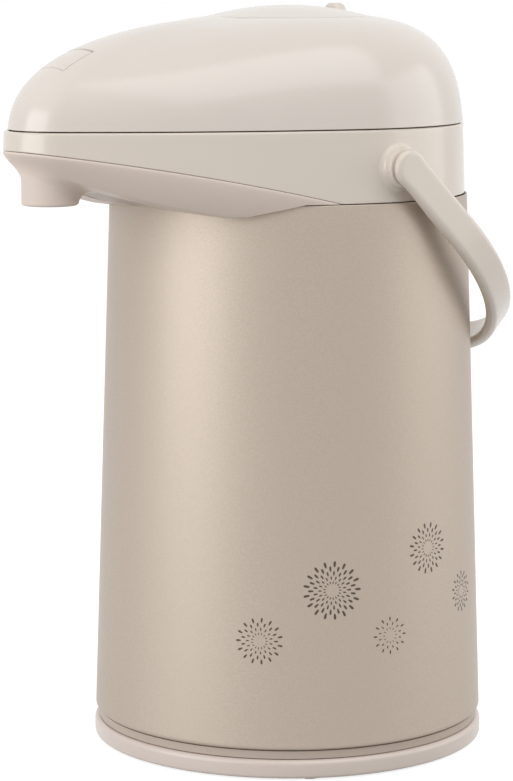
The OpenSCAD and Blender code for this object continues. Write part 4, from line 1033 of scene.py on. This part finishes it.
# %% [markdown]
# A dash is a small rice grain: eight corners in plan, sunk a little into the lacquer below and
# proud of it above. It has few faces, because it is repeated hundreds of times.
# %% Five sunbursts
grain_half = [(-0.6, -0.3), (0.4, -0.4), (0.9, -0.24)]
grain_plan = [(-1.0, 0.0), *grain_half, (1.0, 0.0), *[(x, -y) for x, y in reversed(grain_half)]]
bursts = [(-45, 62, 10.0, 4, 15), (-24, 84, 12.5, 5, 17), (-6, 62, 8.0, 3, 12)]
bursts += [(9, 98, 11.0, 4, 16), (27, 74, 9.0, 4, 14)]
for number, (degrees, height, size, rounds, count) in enumerate(bursts):
    dash = prism(f"sunburst_{number}", grain_plan, -0.05, 0.06, "z")
    values = {"Rounds": rounds, "Dashes": count, "Size": 0.001 * size, "Material": ink}
    values.update({"Turn": math.radians(degrees), "Height": 0.001 * height})
    dress(grow(dash, burst, values), ink, "pot", "case_metal")

# %% [markdown]
# ## The nodes kept from the frame
#
# Inner works, fasteners and seals have the right shape already. Each keeps its mesh and gets the
# finish of what it is made of, and the underside plastic a darker one as painted shade. The node's
# recorded slot says which, and screws get zinc.
# %% Finishes for the kept nodes
finish_of = {
    "case_metal": lacquer,
    "head_plastic": head_abs,
    "lower_plastic": underside_pp_painted_shade,
    "base_plastic": base_abs,
    "inner_plastic": inner_pp,
    "food_plastic": food_pp,
    "steel": steel,
    "silver_glass": silver,
    "rubber_dark": grey_rubber,
    "rubber_light": silicone,
}
slot_of = {s["node"]: s["material_slot"] for s in frame["record"]["subparts"]}
for node, piece in frame["nodes"].items():
    piece.data.materials.clear()
    piece.data.materials.append(zinc if "screw" in node else finish_of[slot_of[node]])
print("kept nodes:", sum(not p.hide_render for p in frame["nodes"].values()))

# %% [markdown]
# ## Floor, light and camera
#
# The pot stands on a plain pale floor that shows as white and still takes the pot's shadow: the
# floor's own glow is seen by the camera and by reflections, never by the light on the pot. Lacquer
# with flakes shows what stands around it, so the lamps are large soft panels: one in front of the
# nose that draws the light band on the case, one behind on the right, and one overhead.
# %% Floor and world


def looked_at(tree):
    """1 where the camera, a reflection or a clear body looks, 0 for the light on the pot."""
    ray, do = add(tree, "ShaderNodeLightPath").outputs, calculator(tree)
    not_camera = do("MAXIMUM", ray["Is Glossy Ray"], ray["Is Transmission Ray"])
    return do("MAXIMUM", ray["Is Camera Ray"], not_camera)


floor_data = bpy.data.meshes.new("floor")
floor_data.from_pydata([(-9, -9, 0), (9, -9, 0), (9, 9, 0), (-9, 9, 0)], [], [(0, 1, 2, 3)])
floor = in_scene("floor", floor_data)
paper, tree, shader, _ = new_material("matte_white_paper")
glow = calculator(tree)("MULTIPLY", looked_at(tree), 0.82)
put(tree, shader, {"Emission Color": (1, 1, 1, 1), "Emission Strength": glow})
put(tree, shader, {"Base Color": (0.42, 0.42, 0.42, 1), "Roughness": 0.9, "Specular IOR Level": 0.0})
floor.data.materials.append(paper)
world = bpy.data.worlds.new("studio")
scene.world = world
world.use_nodes = True
tree = world.node_tree
tree.nodes.clear()
fill, backdrop = [
    get(tree, "ShaderNodeBackground", {"Color": (1, 1, 1, 1), "Strength": strength})
    for strength in (0.55, 1.0)
]
mixed = get(tree, "ShaderNodeMixShader", {0: looked_at(tree), 1: fill, 2: backdrop})
add(tree, "ShaderNodeOutputWorld", {"Surface": mixed})

# %% [markdown]
# Each panel lamp is placed by where it stands and aimed at the pot's middle. Strength is power over
# area, so a larger panel at the same power is softer, not brighter.
# %% Lamps and camera


def panel_lamp(name, place, size, power, aim=(0, -0.02, 0.17), tint=(1, 1, 1)):
    """A rectangular soft lamp."""
    data = bpy.data.lights.new(name, "AREA")
    data.shape, data.size, data.size_y = "RECTANGLE", *size
    data.energy, data.color = power, tint
    lamp = in_scene(name, data)
    lamp.location = place
    lamp.rotation_euler = (Vector(aim) - Vector(place)).to_track_quat("-Z", "Y").to_euler()


panel_lamp("front_panel", (-0.2, -1.75, 0.45), (1.42, 1.5), 20.4, tint=(0.97, 0.98, 1.0))
panel_lamp("rear_panel", (0.94, 1.5, 0.42), (1.6, 1.6), 10.5)
panel_lamp("top_panel", (0.96, 0.05, 1.56), (1.6, 1.4), 11.4, (0, -0.03, 0.3), (0.97, 0.99, 1.0))
camera_data = bpy.data.cameras.new("camera")
camera_data.sensor_width, camera_data.lens = 36.0, 131.48
camera = in_scene("camera", camera_data)
camera.location = (1.0342, -0.7793, 0.3486)
camera.rotation_euler = (math.radians(81.68), 0.0, math.radians(53.636))
scene.camera = camera
scene.view_settings.view_transform = "Standard"
print("camera distance, mm:", round(1000 * math.hypot(*camera.location[:2])))
